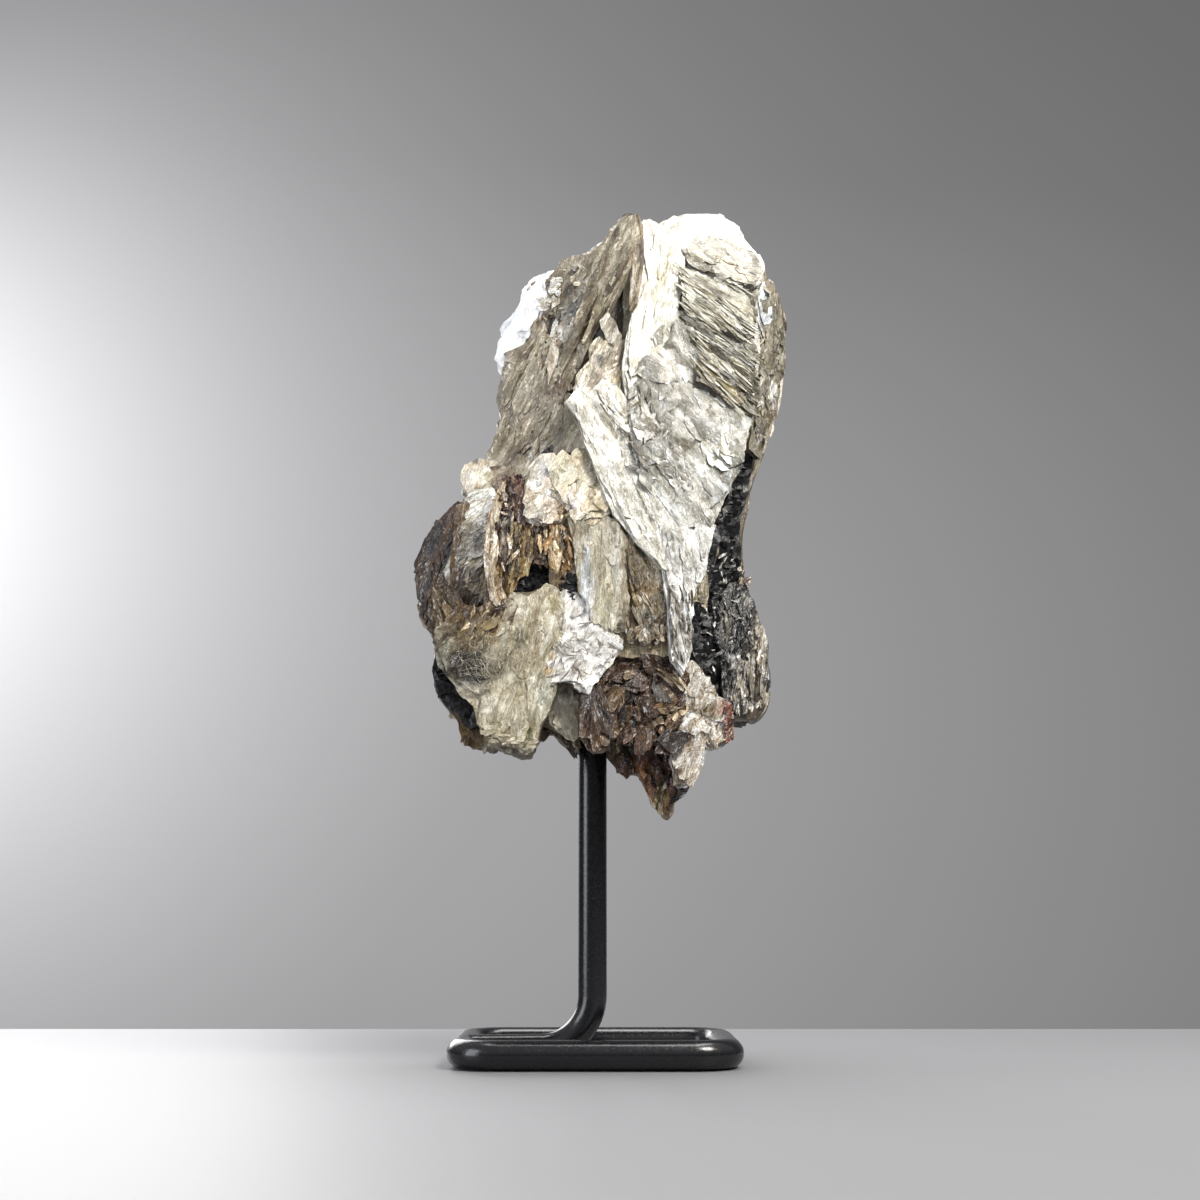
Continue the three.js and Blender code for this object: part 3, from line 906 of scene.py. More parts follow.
def laths(heap, lay, first, last, count, length, width, grain, tones, seed=0, cant=0.3, slip=1.5, edge=None,
          **more):
    """Narrow blades side by side, each tipped like a slat. They start along the line first - last,
    and where an edge is given they all end at that x."""
    dice = random.Random(seed)
    for k in range(count):
        start = Vector(first).lerp(Vector(last), k / max(1, count - 1))
        along, across = heading(grain + dice.uniform(-3, 3))
        start = start + along * dice.uniform(-slip, slip)
        long = length * dice.uniform(0.85, 1.12)
        if edge is not None:
            long = (edge + dice.uniform(-1, 1) - start.x) / along.x
        wide = width * dice.uniform(0.75, 1.3)
        outline = [start + along * (u * long) + across * (v * wide) for u, v in LATH]
        settings = dict(dict(thick=0.9, tear=0.7, wave=0.2, swell=0.4, ribs=0.25, step=0.2, spacing=0.8),
            **more)
        settings["height"] = more.get("height", 0.0) + dice.uniform(0, 0.7)
        Sheet(lay, outline, grain, tones=[varied(t, 0.06, dice) for t in tones[k % len(tones)]],
              seed=seed + k * 2.3, cant=cant, **settings).build(heap)


def block(heap, at, size, dice, tone):
    """A broken grain: a box with its corners knocked about, turned at random."""
    turn = Matrix.Rotation(dice.uniform(0, math.tau), 3, "X")
    turn = turn @ Matrix.Rotation(dice.uniform(-0.5, 0.5), 3, "Y")
    corners = []
    for i in range(8):
        signs = Vector((1 if i & 1 else -1, 1 if i & 2 else -1, 1 if i & 4 else -1))
        local = Vector([s * e / 2 * dice.uniform(0.55, 1.1) for s, e in zip(signs, size)])
        corners.append(heap.add_point(at + turn @ local, tone))
    for quad in ((0, 2, 3, 1), (4, 5, 7, 6), (0, 1, 5, 4), (2, 6, 7, 3), (0, 4, 6, 2), (1, 3, 7, 5)):
        heap.add_face([corners[i] for i in quad], [(0, 0), (MM, 0), (MM, MM), (0, MM)])


def grains(heap, ground, outline, count, size, seed, lift=0.2):
    """Black grains packed over a region of a sheet."""
    dice = random.Random(seed)
    tone = Vector(linear("#101014"))
    for spot in scattered(outline, count, dice):
        scale = dice.uniform(0.5, 1.3)
        height = ground.relief(spot) + lift + dice.uniform(-0.6, 0.6)
        block(heap, ground.lay.at(spot.x, spot.y, height),
            [e * scale * dice.uniform(0.8, 1.25) for e in size], dice, tone)


# ---- specimen ---------------------------------------------------------------------------------


def copy_of_solid(name, voxel):
    """A copy of the specimen's solid, merged and remeshed to an even grid, in millimetres."""
    made = add_object(name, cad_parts["mica_specimen"].data.copy())
    pick(made)
    bpy.ops.object.mode_set(mode="EDIT")
    bpy.ops.mesh.select_all(action="SELECT")
    bpy.ops.mesh.remove_doubles(threshold=0.01 * MM)
    bpy.ops.object.mode_set(mode="OBJECT")
    remesh = made.modifiers.new("skin", "REMESH")
    remesh.mode = "VOXEL"
    remesh.voxel_size = voxel * MM
    bpy.ops.object.modifier_apply(modifier="skin")
    return made


def make_heart():
    """A copy of the solid, remeshed and roughened into packed leaf edges, as the ground of it all."""
    heart = copy_of_solid("packed_heart", 1.0)
    normals = [v.normal.copy() for v in heart.data.vertices]
    for vertex, normal in zip(heart.data.vertices, normals):
        p = vertex.co / MM
        depth = -0.9 + 0.9 * noise.noise(Vector((p.x / 5, p.y / 5, p.z / 14)))
        depth += 0.55 * noise.noise(Vector((p.x / 1.7, p.y / 1.7, p.z / 9)))
        vertex.co += normal * (depth * MM)
    heart.data.materials.clear()
    heart.data.materials.append(mica_heart())
    show_for_specimen(heart, 30)


# Near-black tones: the tourmaline's own colour, and on the two small sheets down the gaps, painted shade.
DARK = ("#33291f", "#1b1611")


def make_upper_left():
    """The grey book with its pits and flutes, the white plates on its margin and the split shard."""
    heap = Heap()
    face = Front(-27.6, -0.6, 0.2)
    grey = ("#b1aa97", "#8e8574")
    main = book(heap, face, [(13.4, 239), (12, 243.5), (9, 243.5), (5, 239), (3, 235), (-1, 231),
        (-7, 230.5), (-11, 227.5), (-14, 223), (-16, 217), (-19, 210), (-22, 203.5), (-26, 200), (-27, 194),
        (-28.5, 186), (-27.5, 181), (-29, 174), (-32, 166), (-26, 158), (-18, 163), (-12, 170), (-2, 171),
        (-4, 186), (-9, 186.5), (-4, 197), (3, 212), (10.5, 226), (11.5, 232)], 64, grey, seed=11,
        swell=1.2, ribs=0.3, tear=0.25, wave=0.3, holes=[(-12.6, 209, 2.3, 3.6)], spots=[
        (-7, 219.6, 2.6, 1.9, "#3d2d1b"), (-5.5, 214.6, 4.5, 2.4, "#62645c"),
        (-8, 212, 3.6, 2.6, "#77766f"), (-13.5, 214.4, 2.6, 1.5, "#e4dccb"),
        (-9.4, 207, 3.2, 1.7, "#efefec"), (-15.4, 211, 3.4, 0.9, "#7d6549"), (-6, 213, 2.6, 1.2, "#55534d"),
        (-11, 203, 4.2, 2.6, "#6d5640"), (-6.6, 201.6, 2.4, 1.5, "#523d27"),
        (-10, 190.5, 4.2, 3.4, "#6f5c40"), (-14, 199, 4, 1.2, "#8d7a62"), (-12, 222, 4, 1.2, "#8b7f6a"),
        (-4, 206, 3, 1.4, "#a19a8a"), (-18, 196, 12, 2.2, "#b0ab98"), (-7, 179, 6.5, 3.2, "#79714e"),
        (-13, 180, 4, 2.6, "#918e78"), (-27, 174, 6, 2.2, "#6b6043"), (-23, 169, 5, 2.2, "#64563e"),
        (-18.5, 172, 4, 0.8, "#423422"), (-12, 174, 1.4, 0.9, "#dddfd4"), (1, 211, 14, 0.9, "#b3b09b"),
        (7, 236, 6, 1.6, "#6e614a"), (-13, 225, 3.4, 1.6, "#645741"), (-24, 189, 8, 1.2, "#7d7257"),
        (-20, 201, 5, 1.4, "#7f7053")])
    laths(heap, Front(-28.4, -0.6, 0.19), (1, 226), (-14, 187), 17, 17, 1.9, 65, [("#aca793", "#908a75"),
        ("#7d715b", "#62543f"), ("#b3b09c", "#9c947e"), ("#918a71", "#796f56"), ("#6b5c44", "#887d65")],
        seed=14, cant=0.25, slip=3, thick=0.6)
    laths(heap, Front(-28.9, -0.6, 0.19), (-3, 205), (5, 222), 6, 18, 1.2, 66,
        [("#bcb8a7", "#a09a84"), ("#534532", "#6f6148"), ("#aca690", "#918a73")], seed=15, thick=0.5)
    fluted = Front(-27.9, -0.6, 0.2)
    book(heap, fluted, [(13.2, 240), (13.8, 232), (12.8, 225), (11.4, 216), (10, 213.5), (10, 222),
        (10.4, 230), (11.4, 238)], 82, ("#dcd5c6", "#b7ad98"), leaves=2, seed=13, tear=0.5,
        spots=[(13.4, 231, 8, 0.5, "#4b3b2b"), (11.4, 218, 5, 0.5, "#6c5940")])
    # A near-black sheet behind the pit in the grey book: painted shade, the dark inside of the pit.
    Sheet(Front(-26.9, -0.6, 0.2), [(-17, 203.6), (-16.8, 213.6), (-12, 215), (-8.8, 211), (-9.4, 203.6)],
        64, tones=("#2a1f1a", "#15100e"), thick=0.6, seed=10).build(heap)
    rough_patch = [(-14, 222), (-9, 227), (-4, 228), (0, 222), (-2, 210), (-5, 202), (-14, 198), (-18, 210)]
    litter(heap, main, rough_patch, 90, (3.2, 1.8), 60, tilt=20, seed=16, lift=1.2, spread=34,
        contrast=0.34)
    litter(heap, main, [(-25, 186), (-19, 204), (-8, 200), (-9, 188), (-16, 167), (-25, 172)], 60,
        (8.5, 1.8), 64, tilt=7, seed=17, lift=1.1)
    peels(heap, main, [(-20, 196), (-5, 198), (-5, 173), (-24, 168)], 18, (15, 4), 66, seed=18, spread=10,
        contrast=0.18)
    peels(heap, main, [(-12, 226), (-2, 228), (-8, 220), (-14, 218)], 5, (9, 3), 60, seed=16, spread=14,
        contrast=0.16)
    litter(heap, main, [(-12, 205), (-3, 205), (-7, 190), (-15, 188)], 50, (3.4, 1.8), 66, tilt=20, seed=12,
        lift=1.1, spread=30, contrast=0.34)
    for patch, seed in (([(-9.4, 211.4), (-5.4, 211), (-5.6, 206), (-8.8, 205.4)], 93),
            ([(-12.8, 222.6), (-10.4, 222.4), (-10.4, 215.6), (-12.6, 215.4)], 94),
            ([(-15.6, 217), (-12.6, 216), (-13.4, 213.4), (-16, 213.8)], 95)):
        litter(heap, main, patch, 9, (4, 2.2), 60, [("#ffffff", "#dfe2e0"), ("#fbfaf6", "#cfccc2")], tilt=9,
            seed=seed, lift=1.5, spread=30)
    margin = Heap()
    for rim, seed in (([(-15.4, 223.6), (-20.4, 219.6), (-24.6, 211), (-25, 207.4), (-19.6, 205),
            (-16.4, 210), (-13.6, 217)], 91), ([(-24.2, 211), (-28, 205), (-29.6, 199), (-27.4, 194.6),
            (-24, 197.6), (-21, 202.6), (-19.6, 206)], 92)):
        book(margin, Front(-28.1, -0.6, 0.2), rim, 62, ("#ffffff", "#f1f3f5"), leaves=2, seed=seed,
            thick=0.6, tear=0.3, crumple=0.3,
            spots=[(-25.4, 199, 2.4, 1.2, "#d8d3c6"), (-21, 207, 2, 0.8, "#d5dade")])
    book(margin, Front(-15.5, -0.5, 0.15), [(-12, 226), (-19, 223.5), (-21, 220), (-21, 216.5),
        (-24.5, 212), (-28, 208), (-27, 205), (-28.5, 202), (-27.5, 197), (-12, 205)], 60,
        ("#fbfbfa", "#e9edf0"), seed=19, wave=0.7, crumple=0.5,
        spots=[(-22, 211, 3, 2, "#c3ccd3"), (-27, 203, 4, 1.2, "#d9cfb6"), (-19, 219, 1.5, 1.5, "#cfd6db")])
    margin.piece("white_margin_plates",
        cleaved_mica("milk_white_mica", "#c9c2b0", 0.12, 0.25, 0.15, 0.42, 0.14, 0.4, deep="#f2f2ee"))
    # A dark book far back, in the gap between the grey book and the white blade: painted shade down the gap.
    book(heap, Front(-20, 0.1, 0.05),
        [(11, 234), (5, 222), (0, 211), (0, 203), (9, 202), (10, 214), (13, 226)], 70,
        ("#4a3b2b", "#221b14"), leaves=1, seed=20, spots=[(5.5, 208, 2, 1.2, "#8b7f6a")])
    ground = Front(-26.2, 0.1, 0.1)
    shard = book(heap, ground, [(-7, 183), (-5.5, 194), (-1.5, 199), (-2, 203), (1, 205.6), (4.6, 202.6),
        (8.4, 205), (9.4, 196), (8, 184)], 68, ("#d5d1c6", "#a29c8d"), leaves=2, seed=21, swell=0.4, spots=[
        (1.5, 198.5, 2.4, 1.6, "#3b3a38"), (6.5, 194, 6, 1.4, "#a89a6f"), (-4, 191, 6, 1.8, "#fbfaf7"),
        (4, 201, 2, 1.2, "#8a857b"), (-0.6, 194, 1.8, 1.2, "#7b766b"), (3.4, 193, 3, 1, "#f3f1ea"),
        (1, 188, 4, 1.4, "#f8f6f0")])
    peels(heap, shard, [(-5, 186), (-3, 196), (2, 203), (8, 202), (8, 188)], 12, (7, 3.2), 66, seed=210,
        spread=16, contrast=0.18)
    book(heap, Front(-25.2, 0, 0.1),
        [(1.2, 210.5), (3.6, 213.6), (5.6, 210), (7.6, 206), (7, 201), (3, 202.5)], 64,
        ("#dedbd1", "#aba79c"), leaves=2, seed=22)
    heap.piece("grey_upper_left_books", cleaved_mica("split_grey_mica", "#6b5c42", 0.3, 0.05, 0.1, 0.4,
        0.26, swirl=0.3, streaks=0.62, deep="#f2e0ba"))


def make_upper_right():
    """The tall white blade, its cap, the block broken in steps and the rim at the right."""
    heap = Heap()
    Sheet(Front(-25, 0.2, 0.11), [(8, 188), (8, 232), (24, 239), (45, 227), (46, 186), (30, 184)], 60,
        tones=("#cfc7b5", "#a39a84"), thick=1.5, seed=20.5).build(heap)
    blade = Front(-30.6, 0.15, 0.14)
    white_blade = book(heap, blade, [(12.8, 240), (14, 242), (17, 241.5), (19, 240), (22, 242), (27, 242.3),
        (27, 236), (26.5, 229), (25.5, 222), (24, 214), (21.5, 206), (18, 199.5), (14, 194), (9.5, 189.5),
        (8, 194), (8.2, 201), (9.5, 209), (11.3, 217), (12.8, 225), (13.6, 232)], 78,
        ("#f7f6ee", "#eee9db"), seed=23, tear=0.5, swell=0.8, spots=[(17, 219, 9, 1.2, "#e0d7bc"),
        (14, 208, 6, 1.4, "#d6ccb8"), (20.5, 226, 9, 1, "#e9e1cb"), (12, 199, 5, 1, "#d2c9b0"),
        (16.5, 201, 5, 0.8, "#cdc3a9")])
    peels(heap, white_blade, [(15, 236), (24, 238), (23, 215), (12, 196), (11, 205), (14, 225)], 14,
        (20, 3), 78, seed=24, spread=3, contrast=0.05)
    cap = Front(-35.4, 0.22, 0.2)
    book(heap, cap, [(19, 239), (23, 242.5), (30, 243), (36, 242.6), (41, 239.5), (45, 234.5), (50, 227.5),
        (48.5, 222), (44, 219.5), (38, 219.5), (34, 222), (29, 225), (25, 228.5)], 15,
        ("#e6e5df", "#dad6cb"), leaves=2, seed=25, wave=0.5,
        spots=[(34, 221.5, 8, 1, "#8a7756"), (43, 219.5, 4, 0.8, "#796547")])
    lower_cap = book(heap, cap, [(25, 231), (28, 234), (33, 236), (40, 233.5), (46, 230), (48.5, 225),
        (45.5, 220.8), (41, 219.6), (38, 221.2), (36, 220.4), (33, 224), (28, 226.6)], -30,
        ("#8d8a7f", "#7d7a6e"), seed=26, height=0.8, wave=0.8, spots=[(37, 228, 5, 1.2, "#a69677"),
        (43, 223, 3, 1.5, "#b8a78e"), (30, 229, 4, 1.2, "#a99d83"), (41, 230, 6, 1, "#e2e1d9")])
    peels(heap, lower_cap, [(27, 232), (44, 231), (46, 223), (29, 227)], 14, (10, 3.6), -28, seed=27,
        spread=12, contrast=0.08)
    chevron = Front(-31.2, 0.3, 0.12)
    under = book(heap, chevron, [(25, 230), (36, 225), (47, 223), (47.5, 200), (46, 189), (42, 183.5),
        (34, 187), (28, 193), (22, 200), (23.5, 215)], -40, ("#8d8471", "#655c48"), leaves=1, seed=28)
    litter(heap, under, [(26, 228), (34, 224), (32, 215), (26, 214)], 26, (4.5, 2.2), -40,
        [("#8b877b", "#736e60"), ("#a6a094", "#8c8779"), ("#615b4d", "#756f60")], tilt=14, seed=29, lift=1)
    stepped = Heap()
    pale = ("#a2a39d", "#888880")
    upper = [pale, ("#7f7e72", "#676556"), ("#b0b1ac", "#98968a"), ("#706a49", "#8b8669"), pale,
        ("#68665a", "#86857b"), ("#b7b9b6", "#a5a59a"), ("#7f7b6e", "#95958a"), ("#b3b4ae", "#939185")]
    laths(stepped, Front(-33.4, 0.3, 0.12), (36, 224), (25.5, 213), 17, 20, 1.8, -40, upper, seed=30,
        cant=0.42, slip=1, tear=0.8, edge=46.3, thick=0.7)
    lower = [("#473d2e", "#5e5641"), ("#8f9089", "#707068"), ("#acafaa", "#87877b"), ("#635e41", "#7c795b"),
        ("#4a4433", "#30281e"), ("#a0a19c", "#7e7d71"), ("#777668", "#5d5b4b"), ("#b5b8b3", "#98988e")]
    laths(stepped, Front(-33.9, 0.3, 0.12), (25.5, 212), (30.5, 200), 16, 20, 1.6, -38, lower, seed=31,
        cant=0.46, slip=1, tear=0.8, edge=46.3, thick=0.7)
    laths(stepped, Front(-33.6, 0.3, 0.12), (30, 200.5), (36, 189), 12, 14, 1.6, -39, [
        ("#c3c6c4", "#a9a99d"), ("#a09f93", "#7c7964"), ("#695f38", "#4a4024"), ("#817a4f", "#625934"),
        ("#3b3120", "#554b2e"), ("#acada2", "#85806b"), ("#6f653e", "#504629"), ("#bdc1ba", "#a09f90")],
        seed=32, slip=0.8, edge=45.6, thick=0.6)
    ledges = [(-34.8, -39, ("#bbb9ae", "#969283"), [(24.9, 226.6), (29.5, 225.6), (35.6, 222), (44, 220),
        (46, 211.5), (45.8, 206), (43.1, 204.4), (40.8, 205.6), (38.9, 207.1), (36.5, 207.8), (34.2, 207.3),
        (31.9, 209), (27.2, 211.9), (25.3, 216.3)], [(27.6, 222.5, 3, 2, "#857e6e"),
        (31, 222.4, 3, 1.2, "#6f6758"), (34.4, 217.6, 3, 1, "#9d8f55"), (41.2, 210.4, 5, 1.8, "#eeece4"),
        (31, 216, 7, 0.5, "#7b7564"), (34.6, 213.6, 7, 0.5, "#736c5a"), (38.6, 215.6, 5, 0.5, "#7f7861"),
        (33, 210.6, 6, 0.9, "#f3f2ee"), (29, 213.6, 4, 0.7, "#dbd9d1"), (42.4, 215, 3, 0.9, "#c9c4a4")]), (
        -34.4, -40, ("#7b7d6f", "#56574a"), [(27.6, 206.4), (31.9, 206.6), (38.9, 204.4), (46.4, 202),
        (46.6, 197.8), (44.3, 194.1), (42.6, 194.9), (40.8, 196.3), (38.9, 197.8), (36.5, 200),
        (34.2, 200.7), (30.9, 202.7), (28.1, 204.2)], [(42.6, 202.4, 3.4, 1.4, "#2b1e14"),
        (42.4, 196.4, 3, 0.6, "#e1dfd6"), (36, 203.4, 5, 0.5, "#c1c2b6"), (39, 200, 6, 0.5, "#bdbdaf"),
        (34, 205.2, 4, 0.6, "#4a4230"), (41.4, 199, 4, 0.4, "#474130"), (37.6, 201.6, 5, 0.4, "#4f4a38")]),
        (-34.8, -43, ("#d2d0c8", "#9a9788"), [(29.5, 201.2), (34.2, 200.7), (38.9, 196.6), (45, 191.4),
        (44, 188.9), (39.8, 191.4), (35.6, 195.3), (30.5, 198.3)],
        [(33, 199, 4, 0.5, "#8e8571"), (39.6, 194.4, 5, 0.4, "#7d745d")]), (-35.4, -42,
        ("#6b5a2c", "#3b2e18"), [(29.3, 197.9), (34.6, 197.4), (40.3, 192), (43.6, 187), (40.4, 184.4),
        (36.6, 187.2), (32.5, 190.8), (29.2, 192.3)], [(35.4, 193.4, 5, 0.6, "#a8974c"),
        (38.6, 189.8, 4, 0.5, "#c0b069"), (32.8, 195.6, 3, 0.6, "#7b6835"),
        (39.4, 191.8, 4, 0.6, "#1f1509"), (36, 189.4, 4, 0.5, "#d9d2b0")])]
    streaks = [("#e9e8e0", "#b5b2a2"), ("#4c4430", "#2f281b"), ("#8a8455", "#676038"),
        ("#c9c8bc", "#97947f")]
    for k, (depth, angle, tones, outline, marks) in enumerate(ledges):
        ledge = book(stepped, Front(depth, 0.3, 0.12), outline, angle, tones, leaves=2, seed=330 + k,
            tear=1.4, thick=0.5, gap=0.25, spacing=0.7, spots=marks)
        litter(stepped, ledge, outline, (60, 36, 22, 34)[k], (8, 0.6), angle, streaks, tilt=5, seed=340 + k,
            spread=4)
    stepped.piece("stepped_ledges", cleaved_mica("mica_books_broken_in_steps", "#5f5634", 0.3, 0.16, 0.15,
        0.36, 0.2, 0.84, swirl=0.06, streaks=0.45, deep="#e0d8b0", shine=0.4))
    rim = Front(-46.6, 0.8, 0.02)
    edge = book(heap, rim, [(45.5, 224), (48, 226.5), (51, 221), (53.8, 212), (55, 206), (54, 200),
        (52.6, 195), (53, 189), (51.5, 182), (49, 175), (46.5, 168.5), (43.5, 172), (44, 186), (45.5, 200)],
        86, ("#79715f", "#4f4838"), seed=34, tear=1.2, spots=[(46.4, 223, 2, 1.2, "#e6e5de"),
        (51.4, 212, 5, 1.6, "#403d30"), (53, 206, 4, 1.2, "#5b5746"), (46.2, 207.6, 2.6, 1.8, "#e4e3dc"),
        (47.4, 202, 4, 1.6, "#8f8876"), (50.6, 200, 5, 1, "#4e4131"), (52.8, 199, 3, 0.8, "#b9b6a8"),
        (45, 197, 4, 1, "#2a1e15"), (44.8, 190, 5, 1.6, "#33241b"), (47.4, 193, 3, 0.8, "#c9c5b6"),
        (50.4, 188, 5, 1.2, "#edecea"), (49.6, 181, 5, 1.4, "#6d5c47"), (47, 184, 4, 0.8, "#a59d8a"),
        (46.4, 177, 4, 1, "#33291f"), (48.4, 173.4, 3, 0.9, "#d8d5ca")])
    litter(heap, edge, [(45, 206), (53.6, 208), (52, 184), (48, 172), (44.6, 176)], 110, (3.4, 1.1), 86,
        tilt=20, seed=39, lift=1.2, spread=18, contrast=0.42)
    book(heap, Front(-47.8, 0.8, 0.02),
        [(46.6, 219), (48.6, 222.6), (51, 219), (52.4, 214), (51.6, 208.6), (48.4, 207.6), (47, 212)], 80,
        ("#dde4ef", "#ced9e8"), leaves=2, seed=37, thick=0.6,
        spots=[(49, 211, 2.4, 1.4, "#a6afbb"), (50.6, 216, 2, 1, "#bdc7d6")])
    peels(heap, edge, [(46, 206), (53, 206), (52, 184), (46, 176)], 14, (8, 2), 86, seed=38, contrast=0.4)
    book(heap, Front(-47.4, 0.8, 0.02),
        [(45.2, 224), (47.6, 221), (47.8, 208), (48.4, 196), (46.8, 188), (45.4, 195), (45.6, 210)], 88,
        ("#484035", "#262018"), leaves=1, seed=39, thick=0.6)
    heap.piece("upper_right_books", cleaved_mica("split_white_muscovite", "#8f8a66", 0.26, 0.25, 0.3, 0.36,
        0.26, 0.8, swirl=0.4, streaks=0.7, deep="#f0efdc"))


def make_middle():
    """The broad plate, the bright plate under it and the long blade that crosses it."""
    heap = Heap()
    middle = Front(-29.6, 0.22, 0.1)
    upper = book(heap, middle, [(8, 195), (14, 201), (18, 208), (22, 214), (27, 213), (30, 203), (31, 196),
        (36, 189), (41, 185), (45.5, 181), (42, 168), (38, 160), (34, 151), (30, 147), (20, 150), (12, 162),
        (8, 176)], -56, ("#9a9b96", "#787568"), leaves=4, seed=41, swell=1, spots=[
        (15.6, 178, 5, 2.6, "#463b1f"), (12, 185, 7, 1.2, "#797158"), (15.5, 190, 5, 0.9, "#655d47"),
        (24, 205, 6, 3, "#797668"), (19, 196, 5, 2, "#847f72"), (26, 197, 4, 2, "#7c786b"),
        (24, 189, 5, 3, "#858174"), (18.5, 186, 2.6, 1.6, "#a5a6a7"), (28.5, 184, 5, 0.8, "#555145"),
        (34, 178, 9, 4, "#a3a5a1"), (40, 184.5, 6, 1, "#6b6644"), (21.5, 171.5, 3.5, 1.2, "#33250f"),
        (2, 183.5, 3, 0.9, "#5b4c33"), (13, 176, 4, 1.2, "#54462a"), (33, 184, 4, 1.6, "#6b6440"),
        (25, 172, 3, 1.6, "#5a5236"), (27, 172, 6, 1.6, "#807b68"), (31, 165, 8, 2.2, "#a3a5a1"),
        (25, 178, 6, 1.2, "#6d6858"), (35, 190, 5, 1.4, "#918d7d"), (18, 176, 3, 1.2, "#524631")])
    for patch, count, seed in (([(9, 178), (13, 180), (15, 174), (11, 172)], 8, 211),
            ([(30, 176), (41, 180), (40, 170), (33, 164)], 16, 212),
            ([(18, 196), (24, 200), (28, 192), (22, 188)], 10, 213),
            ([(25, 168), (32, 166), (34, 156), (27, 156)], 12, 214)):
        litter(heap, upper, patch, count, (7.5, 3.4), -58, [("#fbfcfb", "#dfe1dc"), ("#f4f1ea", "#cfcdc2")],
            tilt=8, seed=seed, lift=1.5, spread=20)
    peels(heap, upper, [(10, 194), (20, 208), (27, 206), (42, 182), (41, 172), (34, 160), (12, 172)], 26,
        (15, 7), -56, seed=42, spread=24, contrast=0.14)
    litter(heap, upper, [(10, 190), (19, 190), (20, 174), (10, 174)], 24, (5, 2), 70, tilt=10, seed=40,
        lift=1.9, spread=24, contrast=0.25)
    crumpled = Sheet(middle, [(10, 172), (17, 173), (21, 167), (19, 163), (13, 163)], -30,
        tones=("#a5a8a9", "#7a7a77"), height=1.2, crumple=0.8, seed=43,
        spots=[(15.5, 171, 3.5, 1.4, "#c0c6cd"), (12, 166, 2, 2, "#6a6b67")]).build(heap)
    litter(heap, crumpled, [(11, 172), (20, 171), (22, 164), (14, 163), (10, 166)], 18, (3.6, 1.8), -20,
        tilt=20, seed=44, contrast=0.35)
    litter(heap, upper, [(20, 168), (26, 167), (29, 160), (24, 160)], 14, (5, 1.1), -42,
        [("#3f3021", "#564633"), ("#281d13", "#403325")], seed=45, lift=1.7)
    lower = book(heap, middle,
        [(20, 172), (30, 169), (38, 160), (34.5, 152), (32.5, 146), (24, 147), (17, 158), (15, 167)], -60,
        ("#c1c4c6", "#aeaea7"), leaves=4, seed=46, height=0.5, spots=[(20, 160, 7, 1.6, "#a0a097"),
        (30, 158, 8, 1.2, "#9b9a8d"), (25, 163, 6, 0.9, "#6c6454"), (34, 153, 6, 0.9, "#8e8a7d")])
    peels(heap, lower, [(19, 168), (35, 160), (33, 150), (28, 148), (19, 158)], 16, (12, 3.4), -60, seed=47)
    long_blade = book(heap, Front(-28.6, 0.14, 0.07), [(-9, 186), (-5, 190.5), (-2, 189), (2, 193),
        (6, 191), (9, 187), (10, 178), (12.5, 168), (18, 158), (25, 149), (30, 143), (27, 139), (20, 136),
        (12, 144), (5, 153), (0, 165), (-3.4, 174), (-5, 181)], -66, ("#f4f4f0", "#e8e6dd"), seed=48,
        tear=0.3, wave=0.2, swell=0.9, thick=0.9, gap=0.3, spots=[(7, 188, 3, 2, "#bdb59e"),
        (4, 178, 9, 0.8, "#cdc6ae"), (9, 182, 5, 1, "#b6aa87"), (8, 163, 8, 0.7, "#c7c2b1"),
        (15, 153, 8, 0.7, "#bdb8a7"), (-3, 184, 3, 1.2, "#d1ccbd"), (0, 170, 8, 0.6, "#d4cfbf"),
        (17, 143, 7, 0.6, "#cbc6b6"), (11, 157, 9, 0.6, "#b2ab96")])
    peels(heap, long_blade, [(-5, 184), (6, 188), (10, 168), (22, 148), (18, 140), (4, 158)], 16, (20, 2.6),
        -66, seed=49, spread=3, contrast=0.06)
    streak = Front(-32, 0.24, 0.02)
    bright = book(heap, streak, [(18, 150), (34, 150), (33, 145), (31.5, 139), (30.5, 134), (27.6, 127),
        (27, 113), (24.5, 106.5), (21, 112), (20.6, 125), (19, 138)], -78, ("#f7fcff", "#dfe0e0"), seed=50,
        tear=1.2, spots=[(21.5, 130, 12, 0.7, "#6a6151"), (22.4, 116, 6, 1, "#5e564c"),
        (25.6, 117, 5, 0.8, "#7a726a"), (23.6, 124, 5, 0.7, "#898278"), (20.6, 108.6, 4, 0.7, "#2a2725"),
        (23, 121, 8, 0.8, "#bbb8b1"), (25, 138, 9, 0.8, "#d1cfca"), (22, 143, 6, 0.8, "#a39d8e"),
        (27, 118, 5, 0.6, "#8b847a")])
    peels(heap, bright, [(20, 148), (32, 148), (29, 134), (26, 114), (22, 112), (21, 130)], 22, (14, 2.2),
        -78, seed=51, spread=5, contrast=0.16)
    litter(heap, bright, [(20.8, 131), (28, 129), (26.4, 112), (24, 107.6), (21.4, 112)], 34, (5, 0.7), -82,
        [("#3c3027", "#201913"), ("#fdfdfc", "#e5e3dd"), ("#5e5042", "#332920")], tilt=8, seed=52, lift=1.2,
        spread=5)
